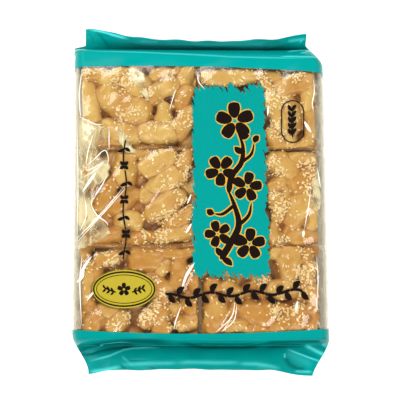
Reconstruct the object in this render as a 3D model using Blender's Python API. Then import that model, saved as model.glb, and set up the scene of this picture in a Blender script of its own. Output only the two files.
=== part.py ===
"""A sealed film pack of six sachima blocks, lying on its back with the printed front up.

Two columns and three rows of puffed-strip blocks fill a clear film bag. The film is drawn down at
both ends into flat crimped seals. The solid is the bag out to its film: a loft of closed sections
from the lower seal (-Y) to the upper one (+Y). Blender 4.5, metres, +Z up.
"""

import math
import random

import bpy
import numpy as np

MM = 0.001
NAME = "sachima_pack"

# Blocks inside the bag, in millimetres
COLUMN_PITCH = 83.5
ROW_PITCH = 68.5
PLATEAU_Z = 33.8
STRIP_RELIEF = 3.4
LUMP_RELIEF = 1.9
SEAM_DEPTH = 3.2
SEAM_HALF_WIDTH = 4.6
BLOCKS_HALF_WIDTH = 82.0
BACK_SEAM_DEPTH = 1.6

# The bag: each end's ridge over the blocks, the seal's root and its length, from the blocks' middle
SIDE_BULGE = 8.6
RIDGE_Y = {"top": 100.6, "bottom": 98.5}
RIDGE_SLANT = {"top": -0.035, "bottom": 0.002}
SEAL_ROOT_Y = {"top": 107.8, "bottom": 104.0}
SEAL_LENGTH = {"top": 15.3, "bottom": 19.2}
CORNER_STRETCH = {"top": (0.0, 0.0), "bottom": (0.05, 0.1)}
WALL_POWER = 1.5
SEAL_Z = 17.6
SEAL_THICKNESS = 1.2
RELIEF_FADE = 7.0

# Half-widths at mid-depth: over the blocks, at the seal, and the Y where one turns into the other
CORNERS = {
    ("left", "top"): (90.7, 82.6, 108.8, 111.2),
    ("right", "top"): (88.8, 76.0, 97.5, 113.0),
    ("left", "bottom"): (90.7, 78.4, 94.5, 122.5),
    ("right", "bottom"): (91.4, 78.6, 98.5, 126.5),
}

# Loft resolution
FRONT_COLUMNS = 48
BACK_COLUMNS = 12
SIDE_STEPS = 5
ROW_STEPS = 20
END_ROW_STEPS = 18
WALL_STEPS = 4
SEAL_STEPS = 5

# Main strips on each block's face: x and y from the block's centre, turn in degrees, length
STRIPS = {
    (-1, 1): [
        (-9, -2, -29, 41), (-33, -1, -65, 34), (-4, 13, -60, 27), (14, 4, -70, 22), (31, 1, 60, 22),
        (33, -16, 62, 27), (14, -23, -4, 31), (-12, -20, -15, 35), (-33, -25, 60, 25), (19, 19, 15, 25),
    ],
    (1, 1): [
        (-22, 16, 4, 35), (27, 12, 20, 29), (12, -9, -75, 32), (26, -5, -82, 28), (36, 0, 85, 25),
        (13, -28, -50, 22), (27, -28, -5, 24),
    ],
    (-1, 0): [
        (15, 25, 36, 31), (23, 13, 25, 31), (20, -7, 33, 32), (30, -14, 30, 31), (27, -24, 20, 29),
        (-9, 20, 88, 28), (-24, 2, 58, 27), (-12, -5, 35, 27), (-21, -28, 20, 29), (-34, 22, 80, 27),
    ],
    (1, 0): [
        (17, 22, -30, 31), (31, 12, 65, 22), (11, -5, 75, 24), (26, -8, 68, 32), (30, -27, 5, 25),
        (12, -25, 75, 18),
    ],
    (-1, -1): [
        (5, 25, 5, 27), (28, 12, 88, 27), (15, 2, -25, 27), (-33, 5, 85, 32), (-11, 4, 0, 36),
        (-16, -19, 60, 25), (6, -16, -70, 27), (33, -15, 45, 27),
    ],
    (1, -1): [
        (21, 23, 85, 27), (33, 14, 85, 20), (15, 5, -5, 25), (-31, -11, 80, 29), (-19, 3, 60, 22),
        (-1, -13, -8, 28), (15, -21, 15, 24), (27, -16, 75, 25),
    ],
}

# Printed fields: the opaque film at the ends, and the panel on the front
WINDOW_TOP_Y = 92.4
WINDOW_BOTTOM_Y = -95.2
PANEL_X = (-5.0, 46.0)
PANEL_Y = (-56.0, 80.0)

# Colours as linear RGB
SACHIMA_GOLD = (0.72, 0.43, 0.17)
TEAL = (0.005, 0.42, 0.37)


def smooth_step(t):
    """0 below 0, 1 above 1, and 3t^2 - 2t^3 between."""
    t = np.clip(t, 0.0, 1.0)
    return t * t * (3.0 - 2.0 * t)


def bump(x, y, centre_x, centre_y, turn, length, width):
    """Height 1 over an oblong lump, falling as the root of one minus the squared distance to its edge."""
    angle = math.radians(turn)
    along = (x - centre_x) * math.cos(angle) + (y - centre_y) * math.sin(angle)
    across = (y - centre_y) * math.cos(angle) - (x - centre_x) * math.sin(angle)
    reach = np.abs(2.0 * along / length) ** 2.6 + (2.0 * across / width) ** 2
    return np.sqrt(np.clip(1.0 - reach, 0.0, 1.0))


def strip_width(length):
    """A long strip is a little wider than a short one."""
    return 6.0 + 0.28 * length


def strip_relief(x, y):
    """How far the strips push the film out: the highest of the main strips and of the lumps between."""
    draw = random.Random(6)
    height = np.zeros_like(x)
    for (column, row), strips in STRIPS.items():
        block_x = 0.5 * column * COLUMN_PITCH
        block_y = row * ROW_PITCH
        for sx, sy, turn, length in strips:
            lump = bump(x, y, block_x + sx, block_y + sy, turn, length, strip_width(length))
            height = np.maximum(height, STRIP_RELIEF * lump)
        for i in range(5):
            for j in range(4):
                lump_x = block_x + 17.0 * (i - 2.0) + draw.uniform(-4.0, 4.0)
                lump_y = block_y + 17.0 * (j - 1.5) + draw.uniform(-4.0, 4.0)
                turn = draw.uniform(0.0, 180.0)
                lump = bump(x, y, lump_x, lump_y, turn, 20.0, 13.0)
                height = np.maximum(height, LUMP_RELIEF * lump)
    return height


def seam_dip(x, y, depth, rows_only=False):
    """Depth of the film's dip over the gaps between rows and, unless rows_only, between columns."""
    row_gap = np.abs(np.abs(y) - 0.5 * ROW_PITCH)
    dip = 1.0 - smooth_step(row_gap / SEAM_HALF_WIDTH)
    if not rows_only:
        dip = np.maximum(dip, 1.0 - smooth_step(np.abs(x) / SEAM_HALF_WIDTH))
    return depth * dip


def half_width(side, end, y):
    """Half-width of the bag at mid-depth, easing from the blocks to the seal past each corner."""
    body, seal, start, finish = CORNERS[(side, end)]
    return seal + (body - seal) * (1.0 - smooth_step((abs(y) - start) / (finish - start)))


def mean_half_width(side, y):
    """The same along the body, sliding evenly from the bottom corner's width to the top one's."""
    share = 0.5 + 0.5 * max(-1.0, min(1.0, y / RIDGE_Y["top"]))
    return share * half_width(side, "top", max(y, 0.0)) + (1.0 - share) * half_width(
        side, "bottom", min(y, 0.0)
    )


def ridge_y(end, x):
    """Where the film turns down at an end: a line across the front that runs slightly aslant."""
    return RIDGE_Y[end] + RIDGE_SLANT[end] * x


def seal_pitch(end, x):
    """Angle of a seal above the level: both curl up in the middle and lie flatter at their corners."""
    if end == "top":
        curl = 1.0 - np.clip(1.0 - (x + 82.0) / 56.0, 0.0, 1.0) ** 2
        return np.radians(4.0 + 72.0 * curl - 26.0 * smooth_step((x - 51.0) / 29.0))
    left, right = corner_shares(x)
    return np.radians(32.0 - 23.0 * left - 29.0 * right)


def corner_shares(x):
    """How near x is to the left and the right corner of a seal, 0 to 1 each."""
    return smooth_step((-x - 62.0) / 18.0), smooth_step((x - 46.0) / 32.0)


def seal_reach(end, x, distance):
    """Distance along the sheet from the root: the seal is a little longer at its drawn-out corners."""
    left, right = corner_shares(x)
    return distance * (1.0 + CORNER_STRETCH[end][0] * left + CORNER_STRETCH[end][1] * right)


def seal_wave(end, x, distance):
    """Slow waves along a seal, growing towards its free edge."""
    phase = 0.8 if end == "top" else 2.3
    return 0.8 * (distance / SEAL_LENGTH[end]) * np.sin(x / 13.0 + phase)


def section(half_height, left, right, bulge):
    """One closed section: front row left to right, right side, back row right to left, left side.

    Returns each point's x and its height above the section's middle.
    """
    front = np.linspace(-1.0, 1.0, FRONT_COLUMNS + 1)
    back = np.linspace(1.0, -1.0, BACK_COLUMNS + 1)
    turn = np.linspace(0.0, math.pi, SIDE_STEPS + 1)[1:-1]
    middle = 0.5 * (right - left)
    flat = 0.5 * (right + left) - bulge
    x = np.concatenate([
        middle + flat * front,
        middle + flat + bulge * np.sin(turn),
        middle + flat * back,
        middle - flat - bulge * np.sin(turn[::-1]),
    ])
    level = np.concatenate([
        np.ones_like(front),
        np.cos(turn),
        -np.ones_like(back),
        np.cos(turn[::-1]),
    ])
    return x, level * half_height


def bulge_at(half_height):
    """The rounded side shrinks with the bag's depth down to the seal's own edge."""
    return 0.4 + (SIDE_BULGE - 0.4) * (half_height / (0.5 * PLATEAU_Z)) ** 0.8


def body_stations():
    """Y of each section over the blocks, with one on each gap between rows."""
    gap = 0.5 * ROW_PITCH
    lower = np.linspace(-RIDGE_Y["bottom"], -gap, END_ROW_STEPS + 1)
    middle = np.linspace(-gap, gap, ROW_STEPS + 1)
    upper = np.linspace(gap, RIDGE_Y["top"], END_ROW_STEPS + 1)
    return np.concatenate([lower, middle[1:-1], upper])


def body_ring(y):
    """A section over the blocks: flat back, bulged sides, and the strips in relief on the front."""
    half_height = 0.5 * PLATEAU_Z
    x, level = section(
        half_height, mean_half_width("left", y), mean_half_width("right", y), SIDE_BULGE
    )
    end = "top" if y > 0.0 else "bottom"
    near_end = smooth_step((abs(y) - 0.5 * ROW_PITCH) / (RIDGE_Y[end] - 0.5 * ROW_PITCH))
    ys = y + math.copysign(1.0, y) * near_end * RIDGE_SLANT[end] * x
    fade = smooth_step((RIDGE_Y[end] - abs(y)) / RELIEF_FADE)
    fade = fade * smooth_step((BLOCKS_HALF_WIDTH - np.abs(x)) / RELIEF_FADE)
    front = level > 0.99 * half_height
    back = level < -0.99 * half_height
    z = half_height + level
    rise = (strip_relief(x, ys) - seam_dip(x, ys, SEAM_DEPTH)) * fade
    z = np.where(front, z + rise, z)
    z = np.where(back, z + seam_dip(x, ys, BACK_SEAM_DEPTH, rows_only=True) * fade, z)
    crinkle = 0.5 * np.sin(y / 5.3 + 0.11 * z) * np.sin(y / 17.0)
    side = ~(front | back)
    x = np.where(side, x + np.sign(x) * crinkle, x)
    return np.stack([x, ys, z], axis=1)


def wall_ring(end, share):
    """A section of the end wall: depth and run follow a superellipse from the blocks to the seal."""
    angle = 0.5 * math.pi * share
    run = math.sin(angle) ** (2.0 / WALL_POWER)
    thin = 0.5 * SEAL_THICKNESS
    full = 0.5 * PLATEAU_Z
    half_height = thin + (full - thin) * max(0.0, math.cos(angle)) ** (2.0 / WALL_POWER)
    y = RIDGE_Y[end] + run * (SEAL_ROOT_Y[end] - RIDGE_Y[end])
    x, level = section(
        half_height, half_width("left", end, y), half_width("right", end, y), bulge_at(half_height)
    )
    out = ridge_y(end, x) * (1.0 - run) + SEAL_ROOT_Y[end] * run
    middle = SEAL_Z + (full - SEAL_Z) * (half_height - thin) / (full - thin)
    return np.stack([x, out, middle + level], axis=1)


def seal_ring(end, distance):
    """A section of the seal, at a distance from its root along the pitched sheet."""
    thin = 0.5 * SEAL_THICKNESS
    root = SEAL_ROOT_Y[end]
    y = root + distance
    x, level = section(
        thin, half_width("left", end, y), half_width("right", end, y), bulge_at(thin)
    )
    pitch = seal_pitch(end, x)
    lift = level + seal_wave(end, x, distance)
    reach = seal_reach(end, x, distance)
    out = root + reach * np.cos(pitch) - lift * np.sin(pitch)
    z = SEAL_Z + reach * np.sin(pitch) + lift * np.cos(pitch)
    return np.stack([x, out, z], axis=1)


def end_rings(end):
    """The wall and seal sections of one end, from the blocks outwards, on the +Y side."""
    rings = [wall_ring(end, step / WALL_STEPS) for step in range(1, WALL_STEPS)]
    distances = np.linspace(0.0, SEAL_LENGTH[end], SEAL_STEPS + 1)
    distances[0] = 0.06 * SEAL_LENGTH[end]
    rings += [seal_ring(end, distance) for distance in distances]
    return rings


def mirrored(ring):
    """The same section on the -Y side."""
    return ring * np.array([1.0, -1.0, 1.0])


def all_rings():
    """Every section of the loft, from the lower seal's edge to the upper one's."""
    lower = [mirrored(ring) for ring in reversed(end_rings("bottom"))]
    body = [body_ring(y) for y in body_stations()]
    return np.array(lower + body + end_rings("top"))


def loft_faces(ring_count, ring_size):
    """Quads between neighbouring sections, and narrow caps that close the two seal edges."""
    faces = []
    for i in range(ring_count - 1):
        for j in range(ring_size):
            k = (j + 1) % ring_size
            here = i * ring_size
            beyond = here + ring_size
            faces.append((here + j, here + k, beyond + k, beyond + j))
    for cap in cap_loops():
        faces.append(tuple(reversed(cap)))
        faces.append(tuple((ring_count - 1) * ring_size + j for j in cap))
    return faces


def cap_loops():
    """Index loops across a seal's edge: each back step faces several front steps, and each side is one."""
    per_step = FRONT_COLUMNS // BACK_COLUMNS
    back_start = FRONT_COLUMNS + SIDE_STEPS
    left_start = back_start + BACK_COLUMNS
    loops = []
    for step in range(BACK_COLUMNS):
        front = [step * per_step + k for k in range(per_step + 1)]
        back = left_start - step
        loops.append(front + [back - 1, back])
    loops.append(list(range(FRONT_COLUMNS, back_start + 1)))
    loops.append([0] + [left_start + k for k in range(SIDE_STEPS)])
    return loops


def face_zone(centre):
    """Material slot of a face: 1 for opaque print at the ends and on the front panel, else 0."""
    x, y, z = centre / MM
    if y > WINDOW_TOP_Y or y < WINDOW_BOTTOM_Y:
        return 1
    on_panel = PANEL_X[0] < x < PANEL_X[1] and PANEL_Y[0] < y < PANEL_Y[1]
    return 1 if on_panel and z > 0.8 * PLATEAU_Z else 0


def material(name, colour, roughness):
    """A Principled surface of one colour."""
    made = bpy.data.materials.new(name)
    made.use_nodes = True
    shader = made.node_tree.nodes["Principled BSDF"]
    shader.inputs["Base Color"].default_value = (*colour, 1.0)
    shader.inputs["Roughness"].default_value = roughness
    shader.inputs["Metallic"].default_value = 0.0
    made.diffuse_color = (*colour, 1.0)
    return made


def centred(points):
    """The points moved so that their box is centred on the origin and stands on z = 0."""
    low = points.min(axis=0)
    high = points.max(axis=0)
    return points - np.array([0.5 * (low[0] + high[0]), 0.5 * (low[1] + high[1]), low[2]])


def build_pack(collection):
    """The bag and its blocks as one closed solid."""
    rings = all_rings()
    ring_count, ring_size = rings.shape[:2]
    points = centred(rings.reshape(-1, 3)) * MM
    mesh = bpy.data.meshes.new(NAME)
    mesh.from_pydata(points.tolist(), [], loft_faces(ring_count, ring_size))
    mesh.materials.append(material("clear film over sachima", SACHIMA_GOLD, 0.25))
    mesh.materials.append(material("teal printed film", TEAL, 0.3))
    for polygon in mesh.polygons:
        polygon.material_index = face_zone(np.array(polygon.center))
    mesh.validate()
    mesh.update()
    pack = bpy.data.objects.new(NAME, mesh)
    collection.objects.link(pack)
    return pack


def main():
    for obj in list(bpy.data.objects):
        bpy.data.objects.remove(obj, do_unlink=True)
    collection = bpy.data.collections.new("Sachima pack")
    bpy.context.scene.collection.children.link(collection)
    build_pack(collection)


main()
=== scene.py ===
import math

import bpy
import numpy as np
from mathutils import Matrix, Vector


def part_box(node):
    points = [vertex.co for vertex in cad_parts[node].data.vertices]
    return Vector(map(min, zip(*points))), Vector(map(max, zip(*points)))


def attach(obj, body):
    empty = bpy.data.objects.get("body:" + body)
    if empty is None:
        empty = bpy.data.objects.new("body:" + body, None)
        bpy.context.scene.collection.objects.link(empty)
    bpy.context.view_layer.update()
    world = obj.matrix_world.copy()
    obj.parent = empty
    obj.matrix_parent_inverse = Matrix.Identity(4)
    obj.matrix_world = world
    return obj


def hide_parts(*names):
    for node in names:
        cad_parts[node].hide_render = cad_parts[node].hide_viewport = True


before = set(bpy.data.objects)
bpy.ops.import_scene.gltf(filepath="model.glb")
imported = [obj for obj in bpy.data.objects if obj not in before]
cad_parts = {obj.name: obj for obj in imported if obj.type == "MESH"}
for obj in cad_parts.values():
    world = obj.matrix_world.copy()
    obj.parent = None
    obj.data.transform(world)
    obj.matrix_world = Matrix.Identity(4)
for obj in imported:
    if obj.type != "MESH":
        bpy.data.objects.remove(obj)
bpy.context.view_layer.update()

# Looks of a sealed film pack of six sachima blocks that lies on its back. Shapes are worked out in
# millimetres from the middle of the six blocks (x across, y towards the upper seal, z up from the
# table) and moved into the frame as each mesh is made.

MM = 0.001
PER_MM = 1.0 / MM
NODE = "sachima_pack"
BOX_LOW, BOX_HIGH = (np.array(corner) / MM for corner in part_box(NODE))

# The blocks' middle, from the middle of the pack's box
MIDDLE = np.array([-0.21, 1.01, 0.0]) + np.array([*(0.5 * (BOX_LOW + BOX_HIGH))[:2], BOX_LOW[2]])

# Blocks
BLOCK_HALF_X = 41.0
BLOCK_HALF_Y = 34.2
BLOCK_LOW_Z = 0.7
BLOCK_HIGH_Z = 35.0
BLOCK_MIDDLES = {
    "top_left": (-42.9, 68.9),
    "top_right": (41.6, 68.7),
    "middle_left": (-42.9, 0.2),
    "middle_right": (41.9, -0.6),
    "bottom_left": (-42.3, -68.4),
    "bottom_right": (42.4, -68.6),
}
VOXEL = 0.8

# Strips that show on each block's face: x, y from its middle, turn in degrees, length, width
FRONT_STRIPS = {
    "top_left": [
        (-11, -2, -27, 42, 22), (-19, 17, 22, 24, 10), (-6, 11, -50, 24, 13), (-35, 19, 0, 24, 10),
        (32, -16, 62, 27, 14), (13, -23, -4, 32, 15), (17, 6, 32, 27, 14), (31, 2, 62, 21, 13),
        (-36, -2, -78, 34, 14), (0, 17, -48, 24, 10), (-13, -22, -12, 32, 18), (-33, -25, 60, 25, 14),
        (32, 17, 78, 21, 13),
        (17, -9, 78, 17, 12), (19, 20, 12, 25, 10), (-19, -32, 2, 25, 8), (-4, 30, 10, 28, 11),
        (-31, 30, -8, 28, 11), (25, 30, 0, 27, 11),
    ],
    "top_right": [
        (26, 11, 14, 31, 15), (11, -9, -72, 34, 12), (37, -17, -86, 21, 10), (-21, 17, 2, 41, 14),
        (22, -10, -80, 29, 14), (35, 0, 82, 20, 10), (11, -29, -60, 21, 13), (32, -32, 30, 14, 9),
        (22, -30, 88, 13, 10), (6, 7, -75, 17, 8), (7, 18, 0, 20, 10), (-24, -9, 30, 32, 15),
        (-15, -24, -20, 34, 15), (-31, 30, -5, 28, 11), (-3, 30, 6, 27, 11), (28, 28, -3, 28, 10),
    ],
    "middle_left": [
        (13, 25, 33, 29, 17), (20, 12, 28, 32, 15), (19, -7, 32, 34, 14), (32, 25, 62, 22, 11),
        (-10, 20, 88, 27, 18), (30, -14, 32, 31, 12), (-24, 2, 63, 29, 13), (-12, -3, 36, 29, 13),
        (25, -26, 14, 31, 13), (-7, -16, -12, 22, 15), (-23, -28, 15, 29, 11), (8, 1, -25, 17, 13),
        (2, -28, 6, 28, 10), (12, 3, 55, 17, 10), (-34, 22, 80, 27, 13), (-35, -14, 72, 24, 12),
        (1, 31, 5, 21, 9),
    ],
    "middle_right": [
        (31, 12, 48, 25, 17), (27, -8, 66, 31, 16), (17, 22, -32, 29, 15), (30, -28, 3, 25, 11),
        (11, -6, -78, 24, 13), (30, 28, -2, 21, 10), (11, 10, 30, 17, 10), (10, -25, 86, 17, 11),
        (36, -15, 80, 25, 9), (18, -1, 84, 24, 7), (19, -24, 82, 13, 7), (-21, 19, 10, 34, 15),
        (-22, 0, -35, 34, 15), (-14, -21, 20, 32, 14),
    ],
    "bottom_left": [
        (28, 14, 88, 25, 12), (5, 25, 4, 27, 19), (28, 30, 2, 27, 8), (10, -15, 32, 24, 13),
        (39, 8, -76, 28, 12), (-22, 26, 18, 21, 10), (-14, -19, 62, 21, 15), (-32, -18, 60, 21, 13),
        (14, 5, -35, 28, 15), (15, -21, -60, 18, 13), (35, -6, -78, 21, 12), (35, -19, 18, 21, 13),
        (-36, 8, 86, 31, 8), (-22, -11, 0, 20, 10), (17, 20, 62, 18, 10), (-30, 15, -80, 21, 8),
        (15, -8, -20, 17, 9), (-35, -6, 78, 14, 8), (24, -8, -70, 14, 8), (-10, 4, 0, 38, 18),
        (-20, -32, 0, 28, 8), (15, -32, 5, 28, 8),
    ],
    "bottom_right": [
        (21, 22, 87, 28, 15), (-2, -13, -12, 28, 18), (-32, -13, 86, 29, 17), (17, 4, -2, 27, 13),
        (33, 15, 80, 17, 10), (26, -16, 80, 21, 14), (32, 2, -12, 20, 13), (-34, 4, 86, 20, 13),
        (14, -21, 28, 20, 13), (38, -20, 48, 18, 12), (-20, 4, -32, 20, 13), (-18, -21, 8, 20, 12),
        (-5, -24, -14, 24, 10), (33, 27, 76, 14, 8), (2, 5, 70, 15, 10), (-8, 5, 40, 15, 10),
        (37, -7, 62, 17, 10), (-17, -9, 60, 17, 10), (10, 29, 0, 13, 10), (14, -9, 0, 14, 7),
        (-16, 23, 20, 32, 15), (-27, 24, 80, 22, 13), (-6, 17, -30, 28, 14), (20, -32, 0, 28, 8),
    ],
}

# Where sesame lies thickest on each block's face: x, y from its middle
SESAME_PATCHES = {
    "top_left": [
        (-37, 19), (-24, 21), (-11, 18), (-8, 11), (-3, 15), (22, 16), (7, 5), (-18, 13), (-12, -12),
        (-2, -9), (23, -15), (11, -20), (31, -15),
    ],
    "top_right": [
        (-38, 17), (-1, 20), (3, 12), (27, 15), (30, 17), (14, 2), (10, 5), (17, -1), (7, -5),
        (12, -20), (15, -23), (-14, 9),
    ],
    "middle_left": [
        (13, 30), (26, 33), (29, 28), (35, 19), (20, 12), (34, 13), (26, 6), (16, -15), (21, -12),
        (26, -10), (31, -5), (13, -18), (15, -30), (21, -26), (3, -27),
    ],
    "middle_right": [
        (9, 25), (13, 20), (32, 23), (37, 25), (33, 8), (37, 13), (12, 2), (16, -7), (12, -10), (16, -31),
    ],
    "bottom_left": [
        (-34, 24), (-21, 27), (-18, 23), (13, -6), (18, 0), (4, -16), (10, -16), (-6, -15), (-16, -21),
        (6, -11), (24, -20), (-15, 17),
    ],
    "bottom_right": [
        (26, 17), (31, 14), (34, 18), (27, 10), (31, 3), (13, -13), (11, -9), (23, -14), (26, -9),
        (31, 30), (2, 11),
    ],
}

# The bag
FILM_GAP = 0.3
FILM_HIGHEST_Z = 36.4
SAG_STEP = 0.004
FLAT_HALF_X = 82.0
MAP_HALF_X, MAP_HALF_Y = 93.0, 112.0
SIDE_BULGE = 8.4
OUTWARD = {"top": 1.0, "bottom": -1.0}
RIDGE_Y = {"top": 100.7, "bottom": 98.6}
RIDGE_SLANT = {"top": -0.035, "bottom": 0.002}
SEAL_ROOT_Y = {"top": 107.8, "bottom": 104.0}
SEAL_LENGTH = {"top": 15.3, "bottom": 19.2}
CORNER_STRETCH = {"top": (0.0, 0.0), "bottom": (0.05, 0.1)}
SEAL_WAVE_PHASE = {"top": 0.8, "bottom": 2.3}
CRIMP_PITCH = 1.1
WINDOW_EDGE = {"top": (92.4, -0.022, -0.0003), "bottom": (-95.2, 0.004, 0.0004)}
WALL_POWER = 1.5
SEAL_Z = 17.6
SEAL_HALF_THICKNESS = 0.3
SEAL_BULGE = 0.3
BACK_Z = 0.12
EDGE_Z = 34.2
CORNERS = {
    ("left", "top"): (90.7, 82.6, 108.8, 111.2),
    ("right", "top"): (88.8, 76.0, 97.5, 113.0),
    ("left", "bottom"): (90.7, 78.4, 94.5, 122.5),
    ("right", "bottom"): (91.4, 78.6, 98.5, 126.5),
}

# Colours
SACHIMA_LIGHT = "#C9AA64"
SACHIMA_GOLD = "#AC7623"
SACHIMA_MOTTLE = "#B68D44"
# The next two dough colours are painted shade: darker deep in the block and low in the stack, brown in
# creases and hollows.
SACHIMA_DEPTH_SHADE = "#94531C"
CREASE_SHADE_BROWN = "#8A4E1A"
SESAME_CREAM = "#E8D6B2"
SESAME_TOASTED = "#DDBE8E"
TEAL = "#008580"
TEAL_SPREAD = "#00807B"
TEAL_LOW = "#017E79"
TEAL_LOW_SPREAD = "#017873"
TEAL_PANEL = "#007F79"
# Painted highlight and painted shade for the printed ends' folds
TEAL_PAINTED_HIGHLIGHT = "#58DCDE"
TEAL_PAINTED_SHADE = "#01504C"
GOLD = "#9C8C28"
GOLD_EDGE = "#C0942C"
INK = "#140C0A"


def smooth_step(t):
    """0 below 0, 1 above 1, and 3t^2 - 2t^3 between."""
    t = np.clip(t, 0.0, 1.0)
    return t * t * (3.0 - 2.0 * t)


def waves(x, y, size, seed, count=7):
    """Rolling noise near -1 to 1: the mean of sines in seeded directions, each about one size long."""
    draw = np.random.default_rng(seed)
    total = np.zeros(np.broadcast(x, y).shape)
    for turn, phase, stretch in zip(
        draw.uniform(0, math.pi, count), draw.uniform(0, 2 * math.pi, count), draw.uniform(0.7, 1.4, count)
    ):
        k = 2 * math.pi / (size * stretch)
        total += np.sin(k * (x * math.cos(turn) + y * math.sin(turn)) + phase)
    return total / math.sqrt(count)


def folds(x, y, size, seed, count=5, spread=math.pi, middle=0.0):
    """Crumpled foil: the mean of triangle waves whose directions lie within a spread of a middle one."""
    draw = np.random.default_rng(seed)
    warp_x = x + 0.25 * size * waves(x, y, 2.2 * size, seed + 1)
    warp_y = y + 0.25 * size * waves(x, y, 2.2 * size, seed + 2)
    total = np.zeros(np.broadcast(x, y).shape)
    for turn, phase, stretch in zip(
        draw.uniform(-0.5, 0.5, count), draw.uniform(0, 1, count), draw.uniform(0.6, 1.5, count)
    ):
        angle = middle + turn * spread
        along = (warp_x * math.cos(angle) + warp_y * math.sin(angle)) / (size * stretch) + phase
        total += 1.0 - 4.0 * np.abs(along - np.round(along))
    return total / count


# Meshes from arrays


def grid_faces(rows, columns, wrap=False):
    """Quads of a grid of points kept row by row; wrap joins the last column to the first."""
    row = np.arange(rows - 1)[:, None]
    column = np.arange(columns if wrap else columns - 1)[None, :]
    beside = (column + 1) % columns
    here, next_row = row * columns, (row + 1) * columns
    corners = [here + column, here + beside, next_row + beside, next_row + column]
    return np.stack(np.broadcast_arrays(*corners), axis=-1).reshape(-1, 4)


def copied_faces(faces, count, points_each):
    """The same quads for a number of equal groups of points that follow one another."""
    return (faces[None] + (np.arange(count) * points_each)[:, None, None]).reshape(-1, 4)


def angles_round(count):
    """Angles evenly spaced round a full turn."""
    return np.linspace(0.0, 2 * math.pi, count, endpoint=False)


def unit(vectors):
    """The same vectors at length 1."""
    return vectors / np.maximum(np.linalg.norm(vectors, axis=1, keepdims=True), 1e-9)


def joined(parts):
    """One pair of arrays from many (points, faces) pairs."""
    points, faces, first = [], [], 0
    for part_points, part_faces in parts:
        points.append(part_points)
        faces.append(part_faces + first)
        first += len(part_points)
    return np.concatenate(points), np.concatenate(faces)


def make_mesh(name, points, faces):
    """A smooth-shaded mesh from points in millimetres about the blocks' middle, and quads."""
    mesh = bpy.data.meshes.new(name)
    mesh.vertices.add(len(points))
    mesh.vertices.foreach_set("co", ((points + MIDDLE) * MM).astype(np.float32).ravel())
    mesh.loops.add(faces.size)
    mesh.loops.foreach_set("vertex_index", faces.astype(np.int32).ravel())
    mesh.polygons.add(len(faces))
    mesh.polygons.foreach_set("loop_start", np.arange(0, faces.size, faces.shape[1], dtype=np.int32))
    mesh.polygons.foreach_set("use_smooth", np.ones(len(faces), dtype=bool))
    mesh.update(calc_edges=True)
    return mesh


def make_piece(name, points, faces, material, slot, channels=()):
    """A finished piece: its mesh, material, point colours (red, green, blue arrays) and body; the slot is not
    used.
    """
    mesh = make_mesh(name, points, faces)
    mesh.materials.append(material)
    if channels:
        colours = np.ones((len(points), 4), dtype=np.float32)
        for index, channel in enumerate(channels):
            colours[:, index] = channel
        layer = mesh.color_attributes.new("shade", "FLOAT_COLOR", "POINT")
        layer.data.foreach_set("color", colours.ravel())
    mesh.validate()
    piece = bpy.data.objects.new(name, mesh)
    bpy.context.scene.collection.objects.link(piece)
    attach(piece, "root")
    return piece


# Materials


def linear(hex_colour):
    """Linear RGB with alpha 1 of an sRGB hex colour."""
    levels = [int(hex_colour[i : i + 2], 16) / 255 for i in (1, 3, 5)]
    return (*(c / 12.92 if c <= 0.04045 else ((c + 0.055) / 1.055) ** 2.4 for c in levels), 1.0)


def add_node(tree, kind, links=None, **settings):
    """A node with its settings; links maps an input to a socket, a number or a colour."""
    node = tree.nodes.new(kind)
    for name, value in settings.items():
        setattr(node, name, value)
    for name, value in (links or {}).items():
        socket = node.inputs[name]
        if isinstance(value, bpy.types.NodeSocket):
            tree.links.new(value, socket)
        else:
            socket.default_value = value
    return node


def new_material(name):
    """An empty node material, its node tree, its output node and its Object coordinates."""
    material = bpy.data.materials.new(name)
    material.use_nodes = True
    tree = material.node_tree
    tree.nodes.clear()
    place = add_node(tree, "ShaderNodeTexCoord").outputs["Object"]
    return material, tree, add_node(tree, "ShaderNodeOutputMaterial"), place


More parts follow.
